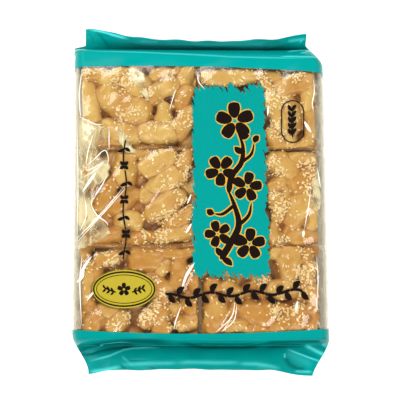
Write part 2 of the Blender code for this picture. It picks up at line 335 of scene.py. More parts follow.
def fried_dough():
    """Puffed dough fried and glazed with syrup: golden, satin under a thin glossy coat.

    The eye gets four things: each strip's own tone with a mottle 7 mm across, a brown painted shade in
    creases and hollows, a darker painted shade deep in the block and low in the stack, and blisters
    1.6 mm across on lumps 5 mm across.
    """
    material, tree, output, place = new_material("fried dough in syrup")
    shade = add_node(tree, "ShaderNodeVertexColor", layer_name="shade").outputs["Color"]
    deep, crease, tone = add_node(tree, "ShaderNodeSeparateColor", {"Color": shade}).outputs
    links = {0: tone, 6: linear(SACHIMA_LIGHT), 7: linear(SACHIMA_GOLD)}
    colour = add_node(tree, "ShaderNodeMix", links, data_type="RGBA").outputs[2]
    links = {"Vector": place, "Scale": PER_MM / 7.0, "Detail": 4.0, "Roughness": 0.6}
    patches = add_node(tree, "ShaderNodeTexNoise", links).outputs["Fac"]
    # After the mottle, the crease and deep mixes paint shade into the colour.
    for value, low, high, most, hex_colour in (
        (patches, 0.38, 0.68, 0.55, SACHIMA_MOTTLE),
        (crease, 0.2, 0.9, 0.85, CREASE_SHADE_BROWN),
        (deep, 0.25, 1.0, 0.75, SACHIMA_DEPTH_SHADE),
    ):
        links = {"Value": value, "From Min": low, "From Max": high, "To Max": most}
        share = add_node(tree, "ShaderNodeMapRange", links).outputs["Result"]
        links = {0: share, 6: colour, 7: linear(hex_colour)}
        colour = add_node(tree, "ShaderNodeMix", links, data_type="RGBA").outputs[2]
    links = {"Vector": place, "Scale": PER_MM / 1.6, "Detail": 4.0, "Roughness": 0.62}
    blisters = add_node(tree, "ShaderNodeTexNoise", links).outputs["Fac"]
    fine = add_node(tree, "ShaderNodeBump", {"Height": blisters, "Distance": 0.22 * MM}).outputs["Normal"]
    links = {"Vector": place, "Scale": PER_MM / 5.0, "Detail": 2.0, "Roughness": 0.5}
    lumps = add_node(tree, "ShaderNodeTexNoise", links).outputs["Fac"]
    links = {"Height": lumps, "Distance": 0.5 * MM, "Normal": fine}
    relief = add_node(tree, "ShaderNodeBump", links).outputs["Normal"]
    links = {
        "Base Color": colour,
        "Roughness": 0.5,
        "IOR": 1.45,
        "Subsurface Weight": 0.28,
        "Subsurface Radius": (0.9, 0.45, 0.2),
        "Subsurface Scale": 3.0 * MM,
        "Coat Weight": 0.5,
        "Coat Roughness": 0.25,
        "Normal": relief,
    }
    shader = add_node(tree, "ShaderNodeBsdfPrincipled", links)
    tree.links.new(shader.outputs["BSDF"], output.inputs["Surface"])
    return material


def sesame_hull():
    """Hulled white sesame, lightly toasted: cream, a little browner from seed to seed, satin.

    A grain 0.5 mm across keeps the seeds from looking like beads.
    """
    material, tree, output, place = new_material("hulled sesame")
    shade = add_node(tree, "ShaderNodeVertexColor", layer_name="shade").outputs["Color"]
    tone = add_node(tree, "ShaderNodeSeparateColor", {"Color": shade}).outputs[0]
    links = {0: tone, 6: linear(SESAME_CREAM), 7: linear(SESAME_TOASTED)}
    colour = add_node(tree, "ShaderNodeMix", links, data_type="RGBA").outputs[2]
    links = {"Vector": place, "Scale": PER_MM / 0.5, "Detail": 3.0}
    grain = add_node(tree, "ShaderNodeTexNoise", links).outputs["Fac"]
    relief = add_node(tree, "ShaderNodeBump", {"Height": grain, "Distance": 0.05 * MM}).outputs["Normal"]
    links = {
        "Base Color": colour,
        "Roughness": 0.4,
        "Subsurface Weight": 0.1,
        "Subsurface Radius": (1.0, 0.7, 0.4),
        "Subsurface Scale": 1.0 * MM,
        "Normal": relief,
    }
    shader = add_node(tree, "ShaderNodeBsdfPrincipled", links)
    tree.links.new(shader.outputs["BSDF"], output.inputs["Surface"])
    return material


def clear_film(name, haze, ripple_mm, tint="#BBB6A8", clear="#FFFFFF"):
    """Cast polypropylene or cellophane film: see-through, glossier at a slant, milky by its haze.

    Gloss is Schlick's 0.055 + 0.94 f^5, with f the Layer Weight's facing, the same on both faces.
    Ripples a few millimetres across break the highlights up. A haze of None reads the red channel of
    the point colours in its place.
    """
    material, tree, output, place = new_material(name)
    links = {"Vector": place, "Scale": PER_MM / ripple_mm, "Detail": 3.0, "Roughness": 0.55}
    ripples = add_node(tree, "ShaderNodeTexNoise", links | {"Distortion": 0.6}).outputs["Fac"]
    links = {"Height": ripples, "Distance": 0.03 * ripple_mm * MM}
    normal = add_node(tree, "ShaderNodeBump", links).outputs["Normal"]
    through = add_node(tree, "ShaderNodeBsdfTransparent", {"Color": linear(clear)}).outputs[0]
    gloss = add_node(tree, "ShaderNodeBsdfGlossy", {"Roughness": 0.07, "Normal": normal}).outputs[0]
    milk = add_node(tree, "ShaderNodeBsdfDiffuse", {"Color": linear(tint), "Normal": normal}).outputs[0]
    if haze is None:
        shade = add_node(tree, "ShaderNodeVertexColor", layer_name="shade").outputs["Color"]
        haze = add_node(tree, "ShaderNodeSeparateColor", {"Color": shade}).outputs[0]
    body = add_node(tree, "ShaderNodeMixShader", {0: haze, 1: through, 2: milk}).outputs[0]
    facing = add_node(tree, "ShaderNodeLayerWeight", {"Blend": 0.5, "Normal": normal}).outputs["Facing"]
    steep = add_node(tree, "ShaderNodeMath", {0: facing, 1: 5.0}, operation="POWER").outputs[0]
    links = {0: steep, 1: 0.94, 2: 0.055}
    mirror = add_node(tree, "ShaderNodeMath", links, operation="MULTIPLY_ADD").outputs[0]
    surface = add_node(tree, "ShaderNodeMixShader", {0: mirror, 1: body, 2: gloss}).outputs[0]
    tree.links.new(surface, output.inputs["Surface"])
    return material


def printed_film(name, colour, low_colour):
    """Film reverse-printed with opaque ink: smooth, softly glossy, in patches 30 mm across.

    The point colours paint highlights along sharp folds and shade in their hollows.
    """
    material, tree, output, place = new_material(name)
    links = {"Vector": place, "Scale": PER_MM / 30.0, "Detail": 2.0}
    patches = add_node(tree, "ShaderNodeTexNoise", links).outputs["Fac"]
    links = {"Value": patches, "From Min": 0.3, "From Max": 0.7}
    spread = add_node(tree, "ShaderNodeMapRange", links).outputs["Result"]
    shade = add_node(tree, "ShaderNodeVertexColor", layer_name="shade").outputs["Color"]
    pale, shaded, _ = add_node(tree, "ShaderNodeSeparateColor", {"Color": shade}).outputs
    body = linear(colour)
    # Over the ink's patches: painted shade, then painted highlight.
    for share, hex_colour in ((spread, low_colour), (shaded, TEAL_PAINTED_SHADE), (pale, TEAL_PAINTED_HIGHLIGHT)):
        links = {0: share, 6: body, 7: linear(hex_colour)}
        body = add_node(tree, "ShaderNodeMix", links, data_type="RGBA").outputs[2]
    links = {"Vector": place, "Scale": PER_MM / 6.0, "Detail": 3.0, "Roughness": 0.5, "Distortion": 0.5}
    ripples = add_node(tree, "ShaderNodeTexNoise", links).outputs["Fac"]
    relief = add_node(tree, "ShaderNodeBump", {"Height": ripples, "Distance": 0.05 * MM}).outputs["Normal"]
    links = {"Base Color": body, "Roughness": 0.2, "Specular IOR Level": 0.05, "Normal": relief}
    shader = add_node(tree, "ShaderNodeBsdfPrincipled", links)
    tree.links.new(shader.outputs["BSDF"], output.inputs["Surface"])
    return material


def gravure_ink(name, colour):
    """Flat gravure ink under the film: matt, with the screen's faint grain drawn 0.8 mm coarse to show."""
    material, tree, output, place = new_material(name)
    links = {"Vector": place, "Scale": PER_MM / 0.8, "Detail": 2.0}
    screen = add_node(tree, "ShaderNodeTexNoise", links).outputs["Fac"]
    links = {"Value": screen, "From Min": 0.3, "From Max": 0.7, "To Max": 0.12}
    grain = add_node(tree, "ShaderNodeMapRange", links).outputs["Result"]
    links = {0: grain, 6: linear(colour), 7: linear("#000000")}
    body = add_node(tree, "ShaderNodeMix", links, data_type="RGBA").outputs[2]
    links = {"Vector": place, "Scale": PER_MM / 6.0, "Detail": 3.0}
    ripples = add_node(tree, "ShaderNodeTexNoise", links).outputs["Fac"]
    relief = add_node(tree, "ShaderNodeBump", {"Height": ripples, "Distance": 0.03 * MM}).outputs["Normal"]
    links = {"Base Color": body, "Roughness": 0.45, "Specular IOR Level": 0.03, "Normal": relief}
    shader = add_node(tree, "ShaderNodeBsdfPrincipled", links)
    tree.links.new(shader.outputs["BSDF"], output.inputs["Surface"])
    return material


# Blocks of fused strips


STRIP_END = 3.2
STRIP_ROUND = 2.2
HIDDEN_LAYERS_Z = (23.0, 15.0, 7.0)
HIDDEN_LAYER_STRIPS = 20
SEEDS_PER_BLOCK = 520


def strips_surface(rows, seed):
    """Bent capsules, one for each row of place, turn, tilt, length, width, depth and bend.

    Along s from -1 to 1 the section is an ellipse-like ring whose size falls as
    (1 - |s|^3.2)^(1/2.2) and swells by a few slow sines; the middle line bows sideways by
    bend (1 - s^2), is turned about z and tilted.
    """
    count, steps, sides = len(rows), 22, 18
    draw = np.random.default_rng(seed)
    s = np.linspace(-1.0, 1.0, steps)[None, :, None]
    angle = angles_round(sides)[None, None, :]
    x, y, z, turn, tilt, length, width, depth, bend = rows.T[:, :, None, None]
    phase = draw.uniform(0, 2 * math.pi, (4, count))[:, :, None, None]
    size = (1.0 - np.abs(s) ** STRIP_END) ** (1 / STRIP_ROUND)
    swell = 1.0 + 0.09 * np.sin(2.6 * s + phase[0]) + 0.07 * np.sin(4.4 * s + angle + phase[1])
    swell = swell + 0.04 * np.sin(2 * angle + phase[2]) + 0.03 * np.sin(3 * angle - 3.0 * s + phase[3])
    along = 0.5 * length * s + 0.0 * angle
    across = 0.5 * width * size * swell * np.cos(angle) + bend * (1.0 - s * s)
    up = 0.5 * depth * size * swell * np.sin(angle) + along * np.tan(np.radians(tilt))
    cos, sin = np.cos(np.radians(turn)), np.sin(np.radians(turn))
    points = np.stack([along * cos - across * sin + x, along * sin + across * cos + y, up + z], axis=-1)
    faces = copied_faces(grid_faces(steps, sides, wrap=True), count, steps * sides)
    return points.reshape(-1, 3), faces


def strip_share(points, rows):
    """How far each point is from each strip: |a|^3.2 + (c^2 + u^2)^1.1, which is 1 on a strip's skin.

    a, c and u run along, across and up, as shares of the strip's half length, width and depth.
    """
    x, y, z, turn, tilt, length, width, depth, bend = (rows[:, k][:, None] for k in range(9))
    cos, sin = np.cos(np.radians(turn)), np.sin(np.radians(turn))
    dx, dy = points[None, :, 0] - x, points[None, :, 1] - y
    along, across = dx * cos + dy * sin, dy * cos - dx * sin
    a = 2.0 * along / length
    c = 2.0 * (across - bend * np.clip(1.0 - a * a, 0.0, 1.0)) / width
    u = 2.0 * (points[None, :, 2] - z - along * np.tan(np.radians(tilt))) / depth
    return np.abs(a) ** STRIP_END + (c * c + u * u) ** (0.5 * STRIP_ROUND)


def pressed(values, low, high, soft):
    """Values squeezed to a range: unchanged inside it, levelling off over the last soft millimetres."""
    top, bottom = high - soft, low + soft
    values = np.where(values > top, top + soft * np.tanh((values - top) / soft), values)
    return np.where(values < bottom, bottom + soft * np.tanh((values - bottom) / soft), values)


def box_surface(low, high):
    """A box between two corners, facing out."""
    x, y, z = np.array([low, high]).T
    points = np.array([(x[i], y[j], z[k]) for k in (0, 1) for j in (0, 1) for i in (0, 1)])
    faces = [(0, 2, 3, 1), (4, 5, 7, 6), (0, 1, 5, 4), (2, 6, 7, 3), (0, 4, 6, 2), (1, 3, 7, 5)]
    return points, np.array(faces)


def fused(points, faces):
    """One closed skin round overlapping closed shapes, by voxel remesh: (points, quads)."""
    mesh = make_mesh("loose strips", points, faces)
    lump = bpy.data.objects.new("loose strips", mesh)
    bpy.context.scene.collection.objects.link(lump)
    skin = lump.modifiers.new("Fuse", "REMESH")
    skin.mode = "VOXEL"
    skin.voxel_size = VOXEL * MM
    made = lump.evaluated_get(bpy.context.evaluated_depsgraph_get()).to_mesh()
    out = np.empty(len(made.vertices) * 3, dtype=np.float32)
    made.vertices.foreach_get("co", out)
    quads = np.empty(len(made.polygons) * 4, dtype=np.int32)
    made.loops.foreach_get("vertex_index", quads)
    bpy.data.objects.remove(lump)
    bpy.data.meshes.remove(mesh)
    return out.reshape(-1, 3).astype(float) / MM - MIDDLE, quads.reshape(-1, 4)


def neighbour_mean(points, faces):
    """For each point, the mean of the points it shares an edge with."""
    ends = np.concatenate([faces[:, [0, 1]], faces[:, [1, 2]], faces[:, [2, 3]], faces[:, [3, 0]]])
    start, end = ends[:, 0], ends[:, 1]
    count = np.maximum(np.bincount(start, minlength=len(points)), 1)
    return np.stack([np.bincount(start, points[end, k], len(points)) / count for k in range(3)], axis=1)


def smoothed(points, faces, times):
    """Points moved half the way to their neighbours' mean, a number of times."""
    for _ in range(times):
        points = points + 0.5 * (neighbour_mean(points, faces) - points)
    return points


def normals_of(points, faces):
    """Unit normals at the points: the sum of the crossed diagonals of the quads round each."""
    crossed = np.cross(points[faces[:, 2]] - points[faces[:, 0]], points[faces[:, 3]] - points[faces[:, 1]])
    total = np.zeros_like(points)
    for k in range(3):
        for corner in range(4):
            total[:, k] += np.bincount(faces[:, corner], crossed[:, k], len(points))
    return unit(total)


def block_strips(name, seed):
    """Places and sizes of a block's strips: those that show, then three seeded layers below them."""
    draw = np.random.default_rng(seed)
    rows = []
    for rank, (x, y, turn, length, width) in enumerate(FRONT_STRIPS[name]):
        depth = 0.5 * width + 6.0
        top = BLOCK_HIGH_Z + 2.0 - 4.2 * rank / len(FRONT_STRIPS[name]) + draw.uniform(-0.4, 0.4)
        tilt = draw.uniform(-3, 3)
        bend = draw.uniform(-0.07, 0.07) * length
        rows.append((x, y, top - 0.5 * depth, turn, tilt, 1.06 * length, 1.1 * width, depth, bend))
    for layer_z in HIDDEN_LAYERS_Z:
        for column in (-2, -1, 0, 1, 2):
            for line in (-1.5, -0.5, 0.5, 1.5):
                x = column * 18.0 + draw.uniform(-4, 4)
                y = line * 18.5 + draw.uniform(-4, 4)
                length, width = draw.uniform(22, 32), draw.uniform(13, 17)
                turn, tilt, bend = draw.uniform(0, 180), draw.uniform(-12, 12), draw.uniform(-3, 3)
                z = layer_z + draw.uniform(-1.5, 1.5)
                rows.append((x, y, z, turn, tilt, length, width, 0.85 * width, bend))
    return np.array(rows)


def squeezed_into_block(name, points, seed):
    """Strips' points pressed to the sides of their block, in its own coordinates.

    The sides stand at the block's half size, or at the bag's rounded sides and end walls where those
    are nearer, and the blocks next to the ends are a little lower there.
    """
    middle_x, middle_y = BLOCK_MIDDLES[name]
    x, y, z = points.T
    wobble = 0.8 * waves(y, z, 30.0, seed + 3)
    high_y = np.minimum(BLOCK_HALF_Y, wall_y("top", x + middle_x, z) - 2.0 - middle_y)
    low_y = np.maximum(-BLOCK_HALF_Y, 2.0 - wall_y("bottom", x + middle_x, z) - middle_y)
    level = np.clip(2.0 * z / EDGE_Z - 1.0, -1.0, 1.0)
    rounded = 0.9 + SIDE_BULGE * (1.0 - np.sqrt(1.0 - level * level))
    high_x = np.minimum(BLOCK_HALF_X + wobble, body_half_width("right", y + middle_y) - rounded - middle_x)
    low_x = np.maximum(-BLOCK_HALF_X + wobble, rounded - body_half_width("left", y + middle_y) - middle_x)
    high_z = BLOCK_HIGH_Z + 0.7 - 1.8 * smooth_step((np.abs(y + middle_y) - 84.0) / 12.0)
    pressed_x, pressed_y = pressed(x, low_x, high_x, 2.0), pressed(y, low_y, high_y, 2.0)
    points = np.stack([pressed_x, pressed_y, pressed(z, BLOCK_LOW_Z, high_z, 1.8)], axis=1)
    return points, low_y.min(), high_y.max()


def block_surface(name, seed):
    """A block: its strips pressed together, fused, softened and lumpy, with its shading channels."""
    rows = block_strips(name, seed)
    points, faces = strips_surface(rows, seed)
    points, low_y, high_y = squeezed_into_block(name, points, seed)
    core = box_surface((-34.0, -26.0, 4.0), (34.0, 26.0, 25.5))
    points, faces = joined([(points, faces), core])
    points, faces = fused(points + [*BLOCK_MIDDLES[name], 0.0], faces)
    points = smoothed(points, faces, 2)
    x, y, z = points.T
    lumps = 0.4 * waves(x + 0.7 * z, y - 0.6 * z, 13.0, seed + 11)
    lumps = lumps + 0.12 * waves(x - 0.6 * z, y + 0.7 * z, 6.0, seed + 12)
    points = points + normals_of(points, faces) * (lumps - 0.25)[:, None]
    normals = normals_of(points, faces)
    return points, faces, normals, dough_shading(name, rows, points, faces, normals, (low_y, high_y), seed)


def dough_shading(name, rows, points, faces, normals, y_range, seed):
    """A block's point colours: painted shade deep below its outside and low in the stack, painted shade in
    its creases, and each strip's own tone.

    A crease is where a much smoothed copy of the skin stands above it, or a second strip is as near as
    the first.
    """
    softened = smoothed(points, faces, 26)
    # hollow and crease are painted shade: where a smoothed copy of the skin stands above it, and where two
    # strips meet.
    hollow = np.clip(((softened - points) * normals).sum(axis=1) / 1.2, 0.0, 1.0)
    local = points - [*BLOCK_MIDDLES[name], 0.0]
    share = strip_share(local, rows[: len(FRONT_STRIPS[name]) + HIDDEN_LAYER_STRIPS])
    owner = np.argmin(share, axis=0)
    nearest, second = np.sort(share, axis=0)[:2]
    crease = np.clip(hollow + 0.7 * np.exp(-(((second - nearest) / 0.16) ** 2)), 0.0, 1.0)
    x, y, z = local.T
    inside = np.minimum(BLOCK_HALF_X - np.abs(x), np.minimum(y_range[1] - y, y - y_range[0]))
    inside = np.minimum(inside, np.minimum(BLOCK_HIGH_Z - z, z - BLOCK_LOW_Z))
    # The deep channel is painted shade: darker the farther inside the block, and lower in the stack.
    deep = np.clip((inside - 2.0) / 8.0, 0.0, 1.0)
    deep = np.maximum(deep, 0.6 * smooth_step((33.0 - z) / 9.0) * (z > 16.0))
    tones = np.random.default_rng(seed + 7).uniform(0.0, 1.0, len(rows))
    tone = tones[owner] + 0.15 - 0.0045 * points[:, 1] + 0.25 * waves(x, y + z, 20.0, seed + 5)
    return deep, crease, np.clip(tone, 0.0, 1.0)


def seed_shapes(places, normals, headings, sizes):
    """Sesame seeds: flattened drops, wide at one end, lying on their places along a heading.

    Along s from -1 to 1 the middle line is 1.55 s and the ring's radius sqrt(1 - s^2) (1 - 0.32 s), as
    0.95 of it to the sides and 0.5 up and down, all times the seed's size in millimetres.
    """
    steps, sides = 5, 6
    s = np.linspace(-1.0, 1.0, steps)[None, :, None]
    angle = angles_round(sides)[None, None, :]
    ring = np.sqrt(np.maximum(1.0 - s * s, 0.012)) * (1.0 - 0.32 * s)
    shape = [1.55 * s + 0.0 * angle, 0.95 * ring * np.cos(angle), 0.5 * ring * np.sin(angle)]
    along = unit(headings - (headings * normals).sum(axis=1, keepdims=True) * normals)
    across = np.cross(normals, along)
    frames = (along, across, normals)
    points = places[:, None, None, :] + sum(
        (part * sizes[:, None, None])[..., None] * axis[:, None, None, :] for part, axis in zip(shape, frames)
    )
    faces = copied_faces(grid_faces(steps, sides, wrap=True), len(places), steps * sides)
    return points.reshape(-1, 3), faces, steps * sides


def scatter_seeds(points, normals, deep, name, seed, count):
    """Seeds in patches: a seeded draw of skin points, likelier the nearer they are to a patch's middle."""
    draw = np.random.default_rng(seed)
    x, y, z = points.T
    near = np.full(len(points), 0.05)
    for patch_x, patch_y in SESAME_PATCHES[name]:
        away = (x - BLOCK_MIDDLES[name][0] - patch_x) ** 2 + (y - BLOCK_MIDDLES[name][1] - patch_y) ** 2
        near += np.exp(-away / 4.2**2)
    sides = (z > 3.0) * 0.12 * np.clip(0.3 + 0.8 * waves(x, y + z, 17.0, seed + 1), 0.0, 2.0) ** 2
    weight = np.where(z > 26.0, near, sides) * np.clip(1.2 - 1.4 * deep, 0.0, 1.0)
    weight *= smooth_step((95.5 - np.abs(y)) / 2.5) * smooth_step((84.5 - np.abs(x)) / 2.0)
    chosen = draw.choice(len(points), count, replace=False, p=weight / weight.sum())
    headings = draw.normal(size=(count, 3))
    sizes = draw.uniform(0.64, 0.88, count)
    lean = unit(normals[chosen] + 0.25 * draw.normal(size=(count, 3)))
    places = points[chosen] + 0.25 * normals[chosen]
    seeds, faces, each = seed_shapes(places, lean, headings, sizes)
    tone = np.repeat(draw.uniform(0, 1, count), each)
    return seeds, faces, tone


# Film stretched over the blocks


class HeightMap:
    """Heights on a square grid of cells, read between them."""

    def __init__(self, half_x, half_y, cell):
        self.cell, self.half_x, self.half_y = cell, half_x, half_y
        self.xs = np.arange(-half_x, half_x + cell / 2, cell)
        self.ys = np.arange(-half_y, half_y + cell / 2, cell)
        self.z = np.zeros((len(self.ys), len(self.xs)))

    def at(self, x, y):
        """Height at any x and y, straight between the four nearest grid points."""
        column = np.clip((x + self.half_x) / self.cell, 0, len(self.xs) - 1.001)
        row = np.clip((y + self.half_y) / self.cell, 0, len(self.ys) - 1.001)
        i, j = row.astype(int), column.astype(int)
        u, v = row - i, column - j
        near = self.z[i, j] * (1 - v) + self.z[i, j + 1] * v
        far = self.z[i + 1, j] * (1 - v) + self.z[i + 1, j + 1] * v
        return near * (1 - u) + far * u


def four_shifts(z):
    """A grid moved one cell each way, four grids in all."""
    return [np.roll(z, shift, axis) for axis in (0, 1) for shift in (1, -1)]


def blocks_top(points, cell=0.9):
    """The blocks' highest point over each cell."""
    top = HeightMap(MAP_HALF_X, MAP_HALF_Y, cell)
    high = points[points[:, 2] > 12.0]
    rows = np.round((high[:, 1] + top.half_y) / cell).astype(int)
    columns = np.round((high[:, 0] + top.half_x) / cell).astype(int)
    np.maximum.at(top.z, (rows, columns), high[:, 2])
    top.z = np.where(top.z > 0, top.z, np.maximum.reduce(four_shifts(top.z)))
    return top


def ridge_y(end, x):
    """Where the film turns down at an end: a line across the front that runs slightly aslant."""
    return RIDGE_Y[end] + RIDGE_SLANT[end] * x


def wall_y(end, x, z):
    """How far out an end's wall stands at x and z.

    With f the height from the seal as a share of the way to the front or the table, the wall is
    ridge + (root - ridge) (1 - f^1.5)^(1/1.5).
    """
    share = np.clip(np.abs(z - SEAL_Z) / np.where(z > SEAL_Z, EDGE_Z - SEAL_Z, SEAL_Z), 0.0, 1.0)
    run = (1.0 - share**WALL_POWER) ** (1.0 / WALL_POWER)
    return ridge_y(end, x) + run * (SEAL_ROOT_Y[end] - ridge_y(end, x))


def stretched(top, rounds=320):
    """A skin pulled taut over the blocks: each height falls to its neighbours' mean or rests on a block."""
    film = HeightMap(top.half_x, top.half_y, top.cell)
    x, y = np.meshgrid(film.xs, film.ys)
    outside = (np.abs(x) > FLAT_HALF_X + 0.5) | (y > ridge_y("top", x)) | (y < -ridge_y("bottom", x))
    rest = np.minimum(np.where(top.z > 0, top.z + FILM_GAP, 0.0), FILM_HIGHEST_Z)
    z = np.where(outside, EDGE_Z, 36.0)
    for _ in range(rounds):
        z = np.where(outside, EDGE_Z, np.maximum(0.25 * sum(four_shifts(z)) - SAG_STEP, rest))
    for _ in range(2):
        z = 0.5 * z + 0.125 * sum(four_shifts(z))
    film.z = z
    return film


def crease(x, y, start, end, width, height):
    """A pinched ridge along a line: a bell across it, fading to nothing at both ends."""
    dx, dy = end[0] - start[0], end[1] - start[1]
    length = math.hypot(dx, dy)
    t = ((x - start[0]) * dx + (y - start[1]) * dy) / length**2
    aside = ((x - start[0]) * dy - (y - start[1]) * dx) / length
    fade = np.sqrt(np.clip(4.0 * t * (1.0 - t), 0.0, 1.0))
    return height * fade * np.exp(-((aside / width) ** 2))


# Pinches in the front film: start, end, width and height of each
FRONT_CREASES = [
    ((-2.0, -44.0), (-13.0, -66.0), 1.5, 0.9),
    ((-10.0, -71.0), (-18.5, -92.0), 1.0, 0.5),
    ((25.0, -71.0), (10.0, -96.0), 0.8, 0.45),
    ((28.0, -72.0), (13.5, -96.0), 0.7, 0.4),
    ((69.0, -72.0), (66.0, -80.0), 0.9, 0.5),
    ((-75.5, -42.0), (-87.0, -61.0), 1.4, 0.8),
    ((-72.0, -65.0), (-79.0, -73.0), 0.9, 0.5),
    ((-48.0, 10.5), (-87.5, -33.0), 0.7, 0.4),
    ((-41.0, 91.0), (-34.0, 68.0), 1.6, 0.8),
    ((-59.0, 49.0), (-52.0, 35.0), 1.4, 0.8),
    ((-16.0, 78.0), (-22.0, 61.0), 0.7, 0.4),
    ((-2.0, 89.0), (4.0, 75.0), 0.7, 0.4),
    ((74.0, 54.0), (79.0, 43.0), 0.9, 0.5),
    ((-24.0, 9.0), (-34.0, -6.0), 0.9, 0.5),
    ((-2.0, -8.0), (-10.0, -26.0), 1.2, 0.6),
    ((-8.0, 20.0), (-3.0, 4.0), 0.8, 0.4),
    ((60.0, -45.0), (52.0, -66.0), 0.8, 0.4),
    ((82.0, 62.0), (78.0, 90.0), 0.8, 0.4),
    ((80.0, -40.0), (84.0, -62.0), 0.8, 0.4),
    ((72.0, -78.0), (60.0, -94.0), 0.8, 0.4),
    ((-58.0, -88.0), (-61.0, -96.0), 0.9, 0.5),
    ((40.0, -84.0), (34.0, -96.0), 0.8, 0.4),
]


def add_wrinkles(film):
    """Listed pinches, slow slack everywhere, and fine cellophane folds in seeded patches."""
    x, y = np.meshgrid(film.xs, film.ys)
    z = film.z.copy()
    for start, end, width, height in FRONT_CREASES:
        z += crease(x, y, start, end, width, height)
    inside = smooth_step((83.0 - np.abs(x)) / 5.0) * smooth_step((99.0 - np.abs(y)) / 5.0)
    patch = smooth_step(0.5 * waves(x, y, 55.0, 21) + 0.1)
    z += inside * (0.18 * waves(x, y, 26.0, 22) + 0.22 * patch * folds(x, y, 9.0, 23, middle=0.6))
    crumpled = np.exp(-(((x + 76.0) / 12.0) ** 4))
    crumpled = crumpled * smooth_step((57.0 - y) / 10.0) * smooth_step((y + 38.0) / 16.0)
    z += crumpled * 0.45 * folds(x, y, 12.0, 31, 5, 1.2, 0.4)
    film.z = z
    return film


def half_width(side, end, y):
    """Half-width of the bag at mid-depth, easing from the blocks to the seal past each corner."""
    body, seal, start, finish = CORNERS[(side, end)]
    return seal + (body - seal) * (1.0 - smooth_step((np.abs(y) - start) / (finish - start)))


def body_half_width(side, y):
    """The same along the body, sliding evenly from the bottom corner's width to the top one's."""
    share = 0.5 + 0.5 * np.clip(y / RIDGE_Y["top"], -1.0, 1.0)
    top = half_width(side, "top", np.maximum(y, 0.0))
    return share * top + (1.0 - share) * half_width(side, "bottom", np.minimum(y, 0.0))


FRONT_COLUMNS, SIDE_STEPS, BACK_COLUMNS = 190, 18, 60


def ring_shares():
    """Round a section: x as a share of the flat width, sideways bulge, and level from 1 (front) to -1."""
    front = np.linspace(-1.0, 1.0, FRONT_COLUMNS + 1)
    turn = np.linspace(0.0, math.pi, SIDE_STEPS + 1)[1:-1]
    back = np.linspace(1.0, -1.0, BACK_COLUMNS + 1)
    flat = np.concatenate([front, np.ones_like(turn), back, -np.ones_like(turn)])
    bulge = np.concatenate([0 * front, np.sin(turn), 0 * back, -np.sin(turn)])
    level = np.concatenate([1 + 0 * front, np.cos(turn), -1 + 0 * back, np.cos(turn[::-1])])
    return flat, bulge, level


def section_x(left, right, bulge_size):
    """x round each section from its half-widths and the size of its rounded sides."""
    flat, bulge, _ = ring_shares()
    middle = 0.5 * (right - left)
    half = 0.5 * (right + left) - bulge_size
    return middle + half * flat + bulge_size * bulge


def body_rings(film, lines):
    """Sections over the blocks, each along its own line y(x): taut front, crinkled sides, flat back.

    At the level l from 1 to -1 the height is back + (front - back) (1 + l) / 2; the sides stand out by
    sin t of their bulge, with crumpled and rolling noise on top.
    """
    _, bulge, level = ring_shares()
    rings = []
    for line in lines:
        y_middle = float(line(np.array(0.0)))
        x = section_x(body_half_width("left", y_middle), body_half_width("right", y_middle), SIDE_BULGE)
        y = line(np.clip(x, -FLAT_HALF_X, FLAT_HALF_X))
        front_z = film.at(x, y)
        z = BACK_Z + (front_z - BACK_Z) * 0.5 * (1.0 + level)
        away = np.abs(bulge)
        crinkle = 0.16 * folds(y, 2.2 * z, 14.0, 41, 5, 1.0) + 0.12 * waves(y, z, 11.0, 43)
        x = x + np.sign(x) * away * (crinkle - 0.35)
        rings.append(np.stack([x, y + 0 * x, z], axis=1))
    return rings


def wall_rings(film, end, steps):
    """Sections of an end wall: from the ridge down to the seal's root along a superellipse.

    At an angle t from 0 to 90 degrees the wall has run out by sin(t)^(2/1.5) of the way to the root, and
    its front and back still stand cos(t)^(2/1.5) of their distance from the seal.
    """
    _, _, level = ring_shares()
    rings = []
    for angle in np.linspace(0.0, 0.5 * math.pi, steps + 1)[1:-1]:
        run = math.sin(angle) ** (2.0 / WALL_POWER)
        full = math.cos(angle) ** (2.0 / WALL_POWER)
        y_middle = RIDGE_Y[end] + run * (SEAL_ROOT_Y[end] - RIDGE_Y[end])
        left, right = half_width("left", end, y_middle), half_width("right", end, y_middle)
        x = section_x(left, right, SEAL_BULGE + (SIDE_BULGE - SEAL_BULGE) * full**0.8)
        y = ridge_y(end, x) * (1.0 - run) + SEAL_ROOT_Y[end] * run
        ridge_z = film.at(x, OUTWARD[end] * ridge_y(end, x))
        front = SEAL_Z + SEAL_HALF_THICKNESS + (ridge_z - SEAL_Z) * full
        back = BACK_Z + (SEAL_Z - SEAL_HALF_THICKNESS - BACK_Z) * (1.0 - full)
        z = back + (front - back) * 0.5 * (1.0 + level)
        rings.append(np.stack([x, OUTWARD[end] * y, z], axis=1))
    return rings


def corner_shares(x):
    """How near x is to the lower left and the lower right corner, 0 to 1 each."""
    return smooth_step((-x - 62.0) / 18.0), smooth_step((x - 46.0) / 32.0)


def seal_pitch(end, x):
    """Angle of a seal above the level, in radians.

    The upper one rises from 4 degrees at its left corner to 76 and falls to 50 at its right corner; the
    lower one stands at 32 in the middle and at 9 and 3 at its corners.
    """
    if end == "top":
        curl = 1.0 - np.clip(1.0 - (x + FLAT_HALF_X) / 56.0, 0.0, 1.0) ** 2
        return np.radians(4.0 + 72.0 * curl - 26.0 * smooth_step((x - 51.0) / 29.0))
    left, right = corner_shares(x)
    return np.radians(32.0 - 23.0 * left - 29.0 * right)


